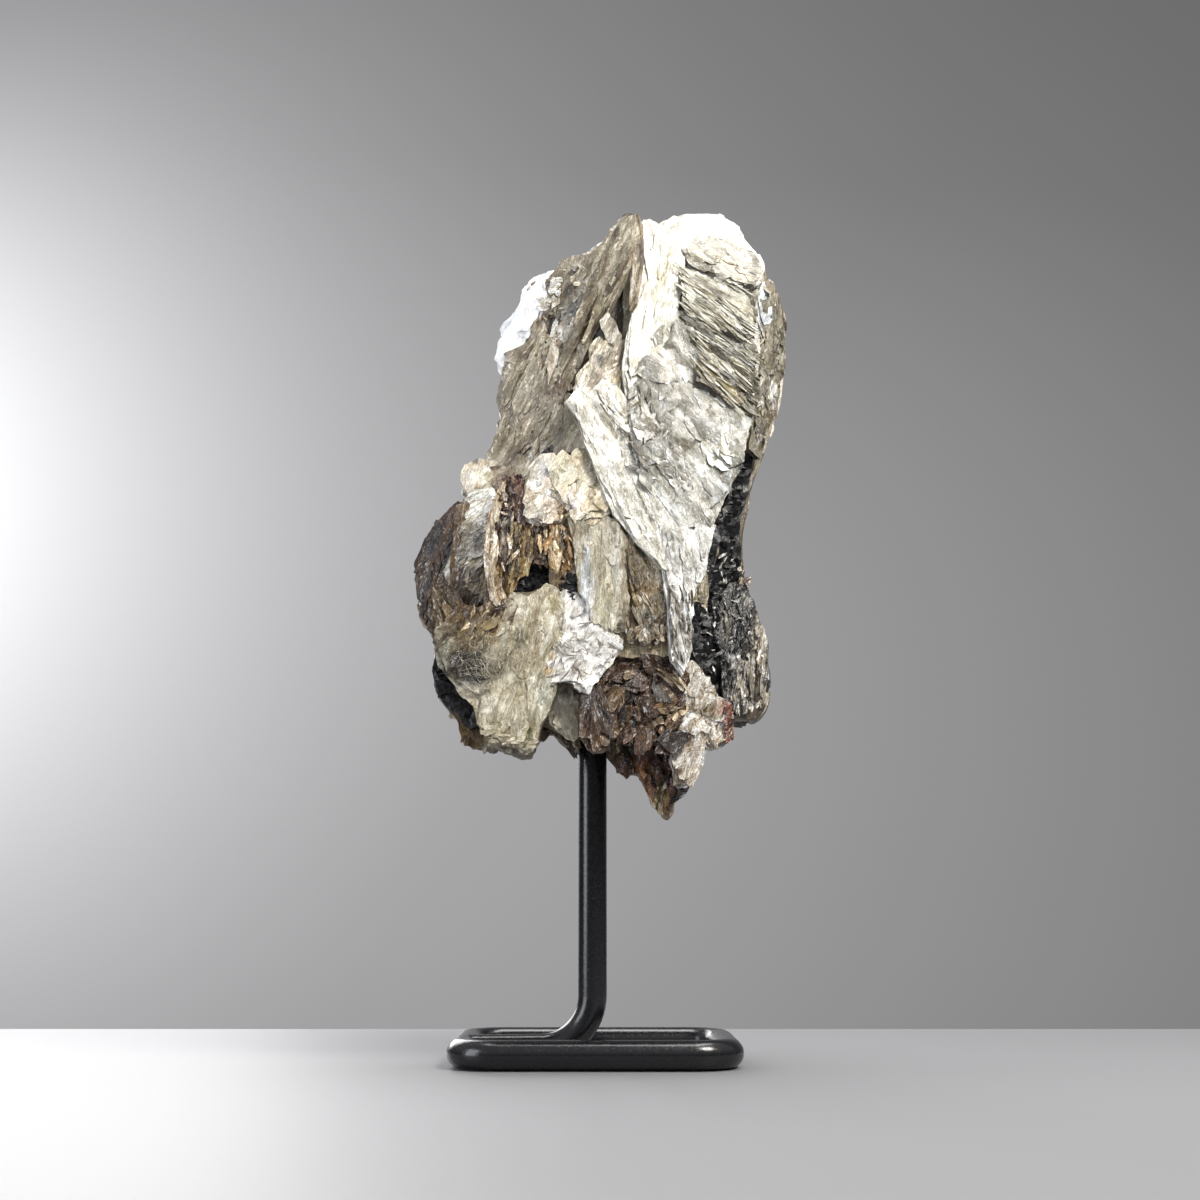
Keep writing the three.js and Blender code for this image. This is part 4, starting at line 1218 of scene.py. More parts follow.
    # Thin dark flakes along three lines on the broad plate: painted shadow at the edges where sheets
    # overlap.
    edge_shadow_tones = [("#4d3f2a", "#2e2415"), ("#6b5b3f", "#453824")]
    for rut, count, angle in (([(-0.6, 187), (1.6, 187.4), (7.6, 177.6), (6.4, 176.8)], 9, -56),
            ([(6.4, 177.6), (8, 178), (13.4, 169.6), (12, 168.8)], 12, -60),
            ([(15, 172), (22, 171.6), (28, 163.6), (26.6, 162.6)], 12, -40)):
        litter(heap, upper, rut, count, (4.6, 0.5), angle, edge_shadow_tones, tilt=4, seed=53 + count, lift=1.7,
            spread=10)
    heap.piece("central_white_books", cleaved_mica("split_pearl_muscovite", "#85795a", 0.34, 0.3, 0.3, 0.34,
        0.34, 1, streaks=0.74, deep="#f3f0e2"))


def make_tourmaline():
    """The black band down the right, the lumps between the books and the silvery flank, with two small
    near-black sheets of painted shade down gaps between the books.
    """
    heap = Heap()
    leaves = Heap()
    flank = Front(-39.8, 0.7, 0)
    band = [(45, 177), (46, 170), (44, 160), (41, 151), (41.5, 143), (42, 136), (45, 126), (48, 117),
        (48.3, 106), (45, 99), (38, 95), (31, 104), (28, 112), (27.5, 126), (31, 135), (33, 145),
        (36.5, 153), (40, 168)]
    ground = Sheet(flank, band, 84, tones=DARK, thick=2, swell=1.2, crumple=1.2, seed=61,
        spacing=0.8).build(heap)
    beside = Sheet(Front(-33.4, 0.3, 0.02),
        [(29, 153), (34, 157), (36.4, 151), (34.6, 142), (32.6, 132), (28, 128), (26.6, 137)], 84,
        tones=DARK, thick=2, crumple=1, seed=55).build(heap)
    grains(heap, beside, [(31, 152), (34.6, 152), (33.4, 141), (31, 131), (28, 134)], 40, (2, 1.5, 1.1), 61,
        -0.4)
    grains(heap, ground,
        [(43, 176), (44.6, 170), (42.4, 160), (39.6, 150), (36, 147), (38, 156), (41, 168)], 100,
        (2, 1.5, 1.1), 62, -0.5)
    grains(heap, ground, [(36, 146), (39.6, 150), (40.4, 136), (38, 126), (30, 126), (32, 136)], 140,
        (2, 1.5, 1.1), 63, -0.5)
    grains(heap, ground, [(28, 127), (36, 127), (35, 112), (32, 104), (29, 110)], 120, (2, 1.5, 1.1), 64,
        -0.4)
    for depth, outline, count, seed in ((-25.2, [(-25, 131), (-21, 135.5), (-17.5, 138.4), (-14, 137.4),
            (-13.4, 133.6), (-17, 129), (-21, 127.8)], 50, 66), (-27.9,
            [(-9.6, 135), (-6.5, 135.4), (-4.6, 137), (-4.4, 131), (-7.5, 126.5), (-9.8, 128)], 34, 67)):
        lump = Sheet(Front(depth), outline, 70, tones=DARK, thick=2, crumple=0.8, tear=0.3,
            seed=seed).build(heap)
        grains(heap, lump, outline, count, (2, 1.6, 1.3), seed, 0)
    rounded = Sheet(Front(-15.4, -0.1, 0), [(-43, 116), (-45, 113), (-46, 108), (-45, 102), (-41.5, 97.5),
        (-38.5, 96), (-37, 92.5), (-35, 91.5), (-31, 93), (-33, 102), (-38, 112)], 110, tones=DARK, thick=3,
        swell=1.5, crumple=0.5, tear=0.2, wave=0.3, seed=68).build(heap)
    grains(heap, rounded, [(-43, 113), (-44.5, 108), (-43, 102), (-38, 98), (-34, 94), (-34, 102)], 26,
        (4, 3, 2), 65, -0.5)
    # Two small near-black triangles down gaps between the books: painted shade, not tourmaline.
    Sheet(Front(-25.9, 0, 0.1), [(-0.8, 204), (2.4, 204), (1.6, 208.4)], 60, tones=DARK, thick=2, tear=0.2,
        seed=59).build(heap)
    Sheet(Front(-24.5, 0, 0.1), [(-15.5, 171), (-12, 170), (-12.4, 173.6)], 60, tones=DARK, thick=2,
        tear=0.2, seed=58).build(heap)
    silver = [("#e9eaea", "#b3b2ac"), ("#9d9a93", "#c9c6be"), ("#f6f6f4", "#cfcec8")]
    flecked = Sheet(flank, [(33, 128), (38, 133), (42, 134), (45, 126), (48, 117), (48.5, 106), (46, 98),
        (38, 95.5), (35.5, 101), (36, 110), (33.5, 118)], 84, tones=("#19181a", "#302e2d"), height=0.7,
        seed=60, crumple=0.7, spacing=0.8, spots=[(44.6, 113, 14, 2.6, "#a8a091"),
        (46.4, 105, 10, 0.9, "#6b4f2e"), (42, 99.6, 8, 4.6, "#cbc7c1"), (38, 98, 4, 2.6, "#9b958c"),
        (36.6, 121, 6, 2.4, "#73706a"), (39.6, 117, 5, 2, "#0f0e13"), (38.8, 110.4, 3, 1.8, "#f2f1f0"),
        (35.2, 108, 8, 2.2, "#121116"), (42, 127, 5, 1.6, "#6c6a66"),
        (47.2, 116, 8, 0.8, "#e2ded4")]).build(leaves)
    litter(leaves, ground, [(32, 140), (39, 142), (40, 134), (43, 128), (33, 128), (32, 136)], 10,
        (2.2, 0.7), 70, silver, tilt=20, seed=69, lift=1.5, spread=50)
    litter(leaves, ground, [(28, 126), (33, 128), (33, 108), (30, 108)], 6, (1.6, 0.6), 70, silver, tilt=20,
        seed=57, lift=1.3, spread=50)
    litter(leaves, flecked, [(33, 126), (42, 132), (46, 118), (46, 98), (37, 96), (35, 110)], 130, (3.6, 1),
        82, tilt=18, seed=70, lift=0.6, spread=24, contrast=0.5)
    litter(leaves, flecked, [(40, 111), (46, 113), (46, 98), (37.6, 96)], 130, (4, 0.9), 84,
        [("#f4f3f1", "#b9b5ae"), ("#4a433b", "#26211d"), ("#c7bda9", "#8e8067")], seed=56, lift=0.8,
        spread=9)
    laths(leaves, Front(-40.7, 0.7, 0), (43.4, 100), (46, 100), 3, 17, 1.4, 88, [("#9c968a", "#7b7363"),
        ("#6e5e3d", "#4f4027"), ("#b4b2ab", "#8a8477"), ("#30271f", "#483f31"), ("#7f6f51", "#9c9177")],
        seed=71, slip=1, thick=0.6)
    book(leaves, Front(-35.6, 0.34, 0.02),
        [(27.4, 127.6), (28.8, 132), (31.4, 136.6), (32, 132), (31.4, 125.4), (29.4, 127.4)], 76,
        ("#a79d80", "#857b5c"), leaves=2, seed=73, thick=0.5)
    litter(leaves, ground, [(40, 138), (43, 134), (42, 130), (39, 132)], 8, (4, 2.2), 60,
        [("#6b5640", "#4d3c2b"), ("#8d7d66", "#6d5c45")], tilt=16, seed=74, lift=1.8)
    heap.piece("black_tourmaline", schorl(), sharp=20)
    leaves.piece("flank_mica",
        cleaved_mica("silvery_mica_on_schorl", "#231f1c", 0.5, 0.4, 0.3, 0.3, 0.36, 1.2, shine=0.3))


def make_cream():
    """The feldspar lobes over the left books."""
    heap = Heap()
    book(heap, Front(-25.6, 0.02, 0.06),
        [(-20, 152), (-20, 164), (-12, 169), (-3, 170), (1, 162), (2, 152), (-8, 149)], 60,
        ("#efe6d3", "#d8c8a8"), leaves=2, seed=79, swell=0.9)
    left = book(heap, Front(-27.2, 0, 0.1), [(-21, 152), (-20.5, 160), (-19, 166), (-16, 170), (-12, 170.6),
        (-9.5, 168), (-7.5, 162), (-8, 156), (-10, 151), (-16, 149.5)], 70, ("#e7e5e2", "#dad3c4"), seed=80,
        wave=0.5, tear=0.5, swell=1.3, spots=[(-11, 160, 4, 2.2, "#ebedf3"), (-12, 152, 3, 2.4, "#d2bfae"),
        (-14, 166, 4, 2, "#e8e9ec"), (-18, 156, 4, 1.2, "#ccc0ac"), (-13, 156, 1.2, 0.8, "#715e47"),
        (-16, 151, 3, 0.8, "#988365")])
    right = book(heap, Front(-26.6, 0.15, 0.1), [(-8.5, 168), (-5.5, 172.5), (-1, 173), (1.5, 168),
        (2.5, 160), (4.5, 153), (0, 149.5), (-6, 150), (-9, 156)], 75, ("#dbd9cc", "#c4b89f"), seed=81,
        wave=0.5, tear=0.5, swell=1.3, step=0.5, spots=[(-6, 162, 2.5, 1.8, "#c1a67b"),
        (-6.5, 157, 4, 2.4, "#e8effb"), (-1, 158, 4, 1, "#98875f"), (-4, 170, 3, 2, "#cac1a5"),
        (1, 155, 3, 1.2, "#a79b78"), (-6.5, 167, 2, 1.2, "#bd9866")])
    book(heap, Front(-28.6, 0, 0.1), [(-14, 166.6), (-9.4, 171.4), (-5, 169), (-3.6, 163), (-5.4, 157.6),
        (-8, 154), (-10.6, 157.4), (-13.4, 160)], 66, ("#e3e0cf", "#cdc5ac"), seed=186, wave=0.5, tear=0.6,
        swell=0.8, spots=[(-8, 158, 3, 2, "#f4efec"), (-11, 165, 4, 1.4, "#c9c5a8")])
    for ground, outline, count, seed in ((left, [(-20, 164), (-9, 167), (-9, 153), (-19, 151)], 34, 82),
            (right, [(-8, 168), (0, 171), (3, 156), (-7, 151)], 30, 83)):
        peels(heap, ground, outline, count, (7.5, 5), 60, seed=seed, lift=0.5, spread=50, thick=0.3)
    litter(heap, left, [(-13, 157), (-8, 158), (-8, 151), (-14, 150)], 20, (3.2, 2), 60,
        [("#f7efe0", "#e3cfb0"), ("#d9bf98", "#c4a478"), ("#8d7352", "#6b553a")], tilt=20, seed=84,
        lift=1.4, spread=40)
    book(heap, Front(-9.5, 0.05, 0), [(-38.6, 164), (-37.6, 167.4), (-34, 169.4), (-30, 168.5), (-25, 166),
        (-24, 160), (-29, 157), (-36, 156.6), (-38.6, 159)], 70, ("#e9e5da", "#c2bba8"), seed=89,
        crumple=0.7, spots=[(-34, 168.8, 1.2, 1.6, "#15151a"), (-37.8, 158.6, 1.6, 1, "#1b1a1c"),
        (-30, 163, 4, 2.6, "#9a8f6c"), (-36.4, 163, 4, 1.6, "#f7f6f3"), (-33, 160, 2, 2, "#aaa28c"),
        (-28, 166, 2, 2, "#7d7254")])
    book(heap, Front(-20.5, -0.3, 0.1),
        [(-31, 166.5), (-26, 167), (-21, 163), (-20, 158), (-24, 157), (-29, 160)], 20,
        ("#8d7f64", "#5f4f3a"), seed=90, spots=[(-26, 165.6, 5, 0.6, "#c6bda8")])
    heap.piece("cream_feldspar_lobes",
        cleaved_mica("iron_stained_feldspar", "#cda877", 0.3, 0.25, 0.1, 0.42, 0.2, 0.8))


def make_lower_left():
    """The outer, inner and standing books, the silky tan plate and the brown one beside it."""
    heap = Heap()
    silvery = Heap()
    silky = Heap()
    book(heap, Front(-24, -0.1, 0.02),
        [(-40, 156), (-20, 160), (-8, 152), (-8, 126), (-24, 122), (-42, 124)], 80, ("#7d6c52", "#4d3e2d"),
        leaves=1, seed=85, thick=2)
    top_of_it = book(silvery, Front(-31, -0.35, 0.12), [(-40, 151), (-38.6, 155.5), (-35, 160),
        (-29.5, 160.8), (-27, 157), (-28.5, 150), (-30, 141), (-36, 139), (-40.5, 141)], 36,
        ("#f1f5f7", "#dbdcd5"), seed=91, swell=1.2, spots=[(-36, 147, 7, 2.4, "#9f947b"),
        (-35, 142.5, 7, 2.6, "#766951"), (-30, 151, 4, 1.2, "#675a45"), (-38, 143, 4, 2, "#857a61"),
        (-33, 146, 3, 1, "#4c3f31"), (-35, 151, 6, 0.8, "#c7c3b7"), (-39.4, 147, 3, 0.8, "#edf0f1")])
    peels(silvery, top_of_it, [(-39, 151), (-29, 154), (-31, 141), (-39, 141)], 16, (9, 2.4), 40, seed=92,
        spread=10, contrast=0.2)
    hairs(silvery, top_of_it, (-44, 136), 25, 60, 6, 20, 34, "#ffffff", 86, 0.1)
    outer_book = book(heap, Front(-38.8, -0.7, 0.05), [(-39, 157), (-41.5, 155.2), (-45, 151), (-48, 144.5),
        (-50.8, 139), (-51, 134), (-50, 129), (-49, 124.5), (-47.5, 121), (-45, 117), (-38, 116),
        (-37, 130), (-39.5, 146)], 72, ("#482e0f", "#281704"), leaves=4, seed=93, ribs=0.4, spots=[
        (-41.3, 154.4, 1.4, 1, "#722d0d"), (-41, 143, 10, 0.9, "#080401"), (-46.5, 122.5, 4, 2, "#4e330f"),
        (-47, 136.5, 5, 1.6, "#59411b"), (-49.6, 136, 7, 0.8, "#5e4720"), (-44, 131, 5, 2, "#654c23"),
        (-44, 147, 6, 1.6, "#190c03"), (-46, 141, 5, 1, "#1d0f03"), (-41.5, 149, 3, 0.8, "#503e1e")])
    litter(heap, outer_book, [(-41, 150), (-47, 139), (-47, 127), (-44.6, 121), (-40, 122), (-40, 144)], 56,
        (7, 1.2), 72,
        [("#a48c5e", "#6d5a39"), ("#2c1f0e", "#130b04"), ("#6f542a", "#402d13"), ("#cdbd8f", "#92805a")],
        seed=98, lift=0.9)
    peels(heap, outer_book, [(-41, 152), (-49, 138), (-48, 124), (-42, 118), (-41, 140)], 34, (11, 2.8), 72,
        seed=94, spread=10, contrast=0.32)
    inner_book = book(silvery, Front(-29, -0.25, -0.02),
        [(-43, 136), (-42, 140), (-39, 143), (-30, 144), (-28, 133), (-31, 124), (-38, 123), (-40, 128)],
        60, ("#bcad8e", "#7c6c4e"), seed=95, spots=[(-41.6, 137, 5, 1.4, "#fffffe"),
        (-40.6, 131, 4, 0.9, "#fffff8"), (-36.5, 131.5, 5, 1.4, "#a99955"), (-33, 136, 7, 2.2, "#66543a"),
        (-33, 128, 4, 2, "#54442e"), (-38.5, 127.6, 2.4, 1.2, "#ffffeb"), (-36, 140, 3, 1.2, "#e3dbc1"),
        (-38, 134, 4, 0.7, "#53422e"), (-31, 140, 3, 1, "#f2ebd2")])
    litter(silvery, inner_book, [(-42, 139), (-30, 143), (-29, 126), (-38, 125)], 40, (6.5, 1.2), 58,
        tilt=10, seed=96, lift=1.2, spread=16, contrast=0.35)
    striped = book(heap, Front(-28.6, -0.1, 0), [(-48, 124), (-46, 131), (-43, 133), (-39, 131), (-37, 126),
        (-31, 126), (-28, 119), (-32, 111), (-40, 112), (-45, 117)], -68, ("#6e6043", "#524328"), seed=97,
        spots=[(-44, 127, 6, 1.2, "#847659"), (-41, 121, 7, 1, "#7f6f51"), (-47, 126, 4, 0.9, "#3f2e19"),
        (-43, 124, 6, 0.7, "#483721"), (-37, 117, 2, 1.6, "#251a0e"), (-34, 121, 3, 1.6, "#614d27"),
        (-36.5, 117.5, 0.8, 0.8, "#a0947b"), (-38, 124, 6, 0.8, "#8f8163")])
    peels(heap, striped, [(-46, 129), (-38, 128), (-30, 121), (-33, 113), (-44, 118)], 20, (8, 2.4), -68,
        seed=87, contrast=0.28)
    collar = book(heap, Front(-31.4, -0.09, 0), [(-42, 124), (-38, 127), (-33, 126), (-29, 128), (-24, 129),
        (-21, 126), (-24, 120), (-30, 115), (-38, 116), (-43, 119)], 60, ("#8d7b59", "#574630"), seed=78,
        tear=1, spots=[(-36, 124, 3, 1.6, "#3a2b1a"), (-31, 125, 3, 1.2, "#e9e2d0"),
        (-27, 126, 2.4, 1.4, "#2f2215"), (-24, 126, 3, 1.6, "#d8ccae"), (-39, 122, 3, 1.6, "#a08d5f"),
        (-33, 121, 4, 1.2, "#c9bfa6"), (-28, 121.5, 3, 1.6, "#7c6238")])
    litter(heap, collar, [(-40, 124), (-26, 128), (-22, 125), (-28, 119), (-38, 119)], 30, (6, 1.1), 66,
        [("#8f7a4e", "#6a5431"), ("#4b3823", "#2f2214"), ("#d9cba8", "#a8966c"), ("#7a6440", "#5a4629")],
        tilt=8, seed=79, lift=0.9, spread=22)
    standing = Front(-26, 0, 0.04)
    inner = book(heap, standing, [(-29.5, 155), (-27.5, 160), (-24.5, 164), (-21, 163), (-19, 153),
        (-8, 152.5), (-5, 148), (-5, 138), (-9, 131), (-13, 133), (-13, 138), (-17, 139), (-21, 136),
        (-24, 129), (-28, 124), (-31.5, 126), (-32, 132), (-30.5, 145)], 86, ("#918162", "#5d4c36"),
        leaves=2, seed=98, ribs=0.5, spots=[(-28.3, 153, 9, 1.2, "#f5f1e6"),
        (-29.3, 141, 9, 1.1, "#eae3d5"), (-27, 133.5, 4, 0.9, "#ebe4d6"), (-24.2, 156, 7, 2, "#574035"),
        (-26, 148, 9, 0.8, "#cececd"), (-26.4, 141.5, 5, 1, "#39271f"), (-24, 146, 8, 0.9, "#493629"),
        (-22, 143, 9, 1.1, "#a69a67"), (-20.3, 145, 7, 0.6, "#4d3c29"), (-18.4, 148, 3.4, 1.2, "#e7dbc1"),
        (-15, 143.5, 4, 2.2, "#59422b"), (-18.2, 141, 1.4, 1, "#f7f4eb"), (-10.6, 142, 9, 0.8, "#eadfc5"),
        (-7.6, 143, 8, 1.2, "#bb945e"), (-12.6, 148, 3, 1.2, "#685034"), (-16, 150.6, 1, 4, "#785e40"),
        (-9, 136, 3, 1.2, "#886942"), (-24, 132, 4, 1.4, "#c8b88f"), (-30, 128, 3, 1.2, "#68563d"),
        (-5.5, 145, 5, 0.8, "#d4c7ab")])
    litter(heap, inner,
        [(-30, 150), (-25, 163), (-21, 160), (-18, 150), (-20, 136), (-28, 126), (-31, 131)], 90, (5, 1.1),
        87, tilt=18, seed=101, lift=1, spread=8, contrast=0.35)
    litter(heap, inner, [(-19, 152), (-6, 151), (-6, 139), (-16, 139)], 60, (5, 1.1), 98, tilt=18, seed=100,
        lift=1, spread=10, contrast=0.3)
    litter(heap, inner, [(-27, 163), (-21, 163), (-21, 152), (-27, 150)], 60, (1.7, 1.1), 86,
        [("#735245", "#4a3329"), ("#ffffff", "#e2d7c0"), ("#5b4134", "#81604f")], tilt=30, seed=102,
        lift=1.3, spread=40)
    # On the second strip, the black one, the two near-white spots are painted glints.
    strips = [(-27.8, 88, ("#fffff8", "#e6ddcb"), [(-28, 160), (-25.6, 163.6), (-26.2, 157), (-28.2, 150),
        (-29, 142), (-28.2, 136), (-26.4, 130), (-24.4, 126.6), (-27.4, 125.4), (-30, 129), (-31.4, 136),
        (-31.6, 144), (-30.4, 153)],
        [(-29.6, 147, 5, 0.8, "#92856d"), (-30, 133, 4, 0.7, "#736046"), (-27, 129, 2, 0.7, "#aa997e")]), (
        -27.2, 84, ("#2d211c", "#503d35"), [(-26, 157), (-23.4, 159), (-22.8, 151), (-24, 144),
        (-25.6, 136.6), (-27.4, 135.6), (-28.2, 143), (-27.6, 151)],
        [(-25.2, 152, 5, 0.6, "#ebebec"), (-26.6, 143, 5, 0.6, "#d0ccc4"),
        (-24.4, 147, 3, 0.6, "#928477")]), (-27.6, 86, ("#68483c", "#3a2820"),
        [(-25.4, 161), (-23, 165), (-20.6, 163.6), (-19.6, 156), (-20, 149), (-22.4, 150), (-23.8, 155)],
        [(-22.4, 160, 3, 0.7, "#ab9183"), (-21, 153, 3, 0.7, "#261915")]), (-27, 82, ("#af9e6e", "#79693e"),
        [(-22.8, 151), (-20.4, 152), (-20.4, 143), (-22, 134.6), (-25, 133.6), (-24.4, 142)],
        [(-22, 145, 7, 0.5, "#4c3a26"), (-22.6, 138, 4, 0.6, "#e1d4aa")]), (-26.9, 84,
        ("#c3b485", "#8a784d"),
        [(-20, 150), (-17.8, 149.6), (-17.6, 142), (-19.2, 135), (-22, 134.4), (-20.8, 143)],
        [(-19, 144, 6, 0.5, "#4d3b27"), (-19.6, 138, 3, 0.7, "#eee4bf")]), (-26.7, 90,
        ("#634a2f", "#37281b"), [(-17.8, 149), (-13.6, 150), (-12.2, 143), (-13.8, 138.6), (-17.4, 139)],
        [(-15.6, 146, 2, 1.2, "#92744c"), (-14.2, 141, 2, 1, "#261911")]), (-27.2, 96,
        ("#f9efd6", "#cbb68a"),
        [(-13, 151), (-10, 150), (-9.2, 143), (-10.6, 136), (-12.8, 136.6), (-13.6, 144)],
        [(-11.4, 145, 5, 0.5, "#ac915f")]), (-26.8, 98, ("#caa268", "#8f6e3f"),
        [(-8.8, 150), (-6.2, 149), (-5.4, 142), (-7, 135.4), (-9.2, 137), (-9.6, 144)],
        [(-7.6, 143, 6, 0.5, "#edd9ac")])]
    for k, (depth, angle, tones, outline, marks) in enumerate(strips):
        book(heap, Front(depth, 0, 0.04), outline, angle, tones, leaves=2, seed=240 + k, tear=0.9,
            thick=0.8, spacing=0.7, spots=marks)
    litter(heap, inner,
        [(-28, 156), (-25, 163), (-21, 162), (-20, 150), (-21, 137), (-27, 130), (-29, 142)], 48, (5, 0.9),
        87, [("#fbf8f0", "#ded6c4"), ("#2b201b", "#140e0b"), ("#64453a", "#38261f"), ("#a9996a", "#75653c"),
        ("#fbf3dc", "#bfae80")], tilt=14, seed=201, lift=2, spread=14)
    litter(heap, inner, [(-27, 163), (-21, 164), (-20, 154), (-27, 152)], 60, (2, 1.2), 86,
        [("#4f332b", "#2e1d18"), ("#f7f0e6", "#cbbcaa"), ("#744c40", "#452c24")], tilt=24, seed=202,
        lift=2.2, spread=30)
    litter(heap, inner, [(-19, 151), (-6, 150), (-6, 141), (-16, 141)], 26, (5, 1.4), 92,
        [("#f6ecd4", "#c4b085"), ("#5f472d", "#35261a"), ("#c39c64", "#8a6a3d"), ("#3a2a1c", "#1e140c")],
        tilt=16, seed=203, lift=1.9, spread=24)
    hairs(heap, inner, (-22, 150), 245, 300, 8, 22, 60, "#f6eccf", 99)
    hairs(heap, inner, (-9, 150), 240, 290, 6, 16, 30, "#f6eccf", 98)
    Sheet(Front(-26.2, 0.1, 0.02), [(-12, 152), (10, 153), (24, 141), (24, 112), (0, 112), (-10, 118)], 88,
        tones=("#b5a88a", "#7d6c50"), thick=1.5, seed=75).build(silky)
    tan_plate = book(silky, Front(-28, 0.05, 0.02), [(-8, 152), (0, 153), (6, 151.5), (9, 146), (9.2, 140),
        (8.6, 133), (9.6, 129), (8.6, 124), (8.6, 119.5), (6, 118.5), (3, 119), (0, 116.8), (-2.4, 120),
        (-3, 126), (-5, 130), (-5.6, 140)], 88, ("#d0ccbc", "#b2ab94"), seed=103, tear=0.4, ribs=0.3,
        spots=[(-3, 132, 13, 1.8, "#cdd5dd"), (-1.4, 128, 9, 0.8, "#e4e7ea"),
        (2.4, 128, 11, 0.8, "#a49f79"), (6, 138, 10, 1, "#dcdbd4"), (7.6, 134, 12, 0.7, "#b2a388"),
        (0.6, 140, 10, 0.7, "#a9a288"), (3, 118.4, 1.4, 4, "#847554"), (-2, 121, 3, 1.2, "#73694e"),
        (4.4, 131, 7, 0.7, "#aaa380"), (4, 147, 6, 1.6, "#bfb9ac"), (-6, 147, 5, 1.2, "#a4967d"),
        (8, 123, 5, 0.6, "#715f43")])
    peels(silky, tan_plate, [(-7, 151), (6, 151), (8, 130), (7, 121), (-2, 121)], 18, (20, 3.4), 89,
        seed=104, spread=3)
    brown = book(heap, Front(-27.6, 0.14, 0.02), [(5, 152), (9, 149), (14, 144), (20.5, 137), (22.6, 131),
        (22.4, 122), (21, 117), (15, 114.6), (9, 116), (7.6, 126)], 98, ("#948f7d", "#69604c"), leaves=4,
        seed=105, fan=(10, 166), ribs=0.35, spots=[(17, 128, 3, 3, "#676556"), (12, 131, 2.5, 8, "#83704f"),
        (15, 122, 4, 3, "#767974"), (9.6, 133, 0.8, 9, "#594a34"), (14, 117.5, 5, 1.6, "#b7bbb8"),
        (18, 134, 1.6, 6, "#afb1a8"), (20.6, 126, 0.8, 7, "#3e3629"), (11, 145, 1.5, 5, "#aaa692"),
        (14, 123, 1, 1.2, "#2b231b")])
    peels(heap, brown, [(8, 149), (18, 138), (21, 124), (12, 118)], 30, (10, 2.6), 102, seed=106, spread=10,
        contrast=0.28)
    litter(heap, brown, [(10, 122), (20, 124), (20, 115), (10, 116)], 30, (3.4, 1.6), 60,
        [("#c0bdb6", "#959186"), ("#d8d7d4", "#b2aea5"), ("#41382d", "#5e5242")], tilt=24, seed=107,
        lift=1.6, spread=50)
    silvery.piece("silvery_left_books", cleaved_mica("silvery_brown_mica", "#4d3823", 0.22, 0.4, 0.25, 0.27,
        0.4, 1, swirl=0.35, streaks=0.6, deep="#efdcae"))
    silky.piece("silky_tan_plate", cleaved_mica("silky_tan_mica", "#6f6040", 0.2, 0.2, 0.1, 0.4, 0.24, 0.75,
        swirl=0.12, streaks=0.62, deep="#efe4c8"))
    heap.piece("lower_left_books", cleaved_mica("split_tan_and_brown_mica", "#4d3823", 0.28, 0.12, 0.05,
        0.3, 0.4, 1.15, swirl=0.4, streaks=0.66, deep="#f0cc8e", shine=0.28))


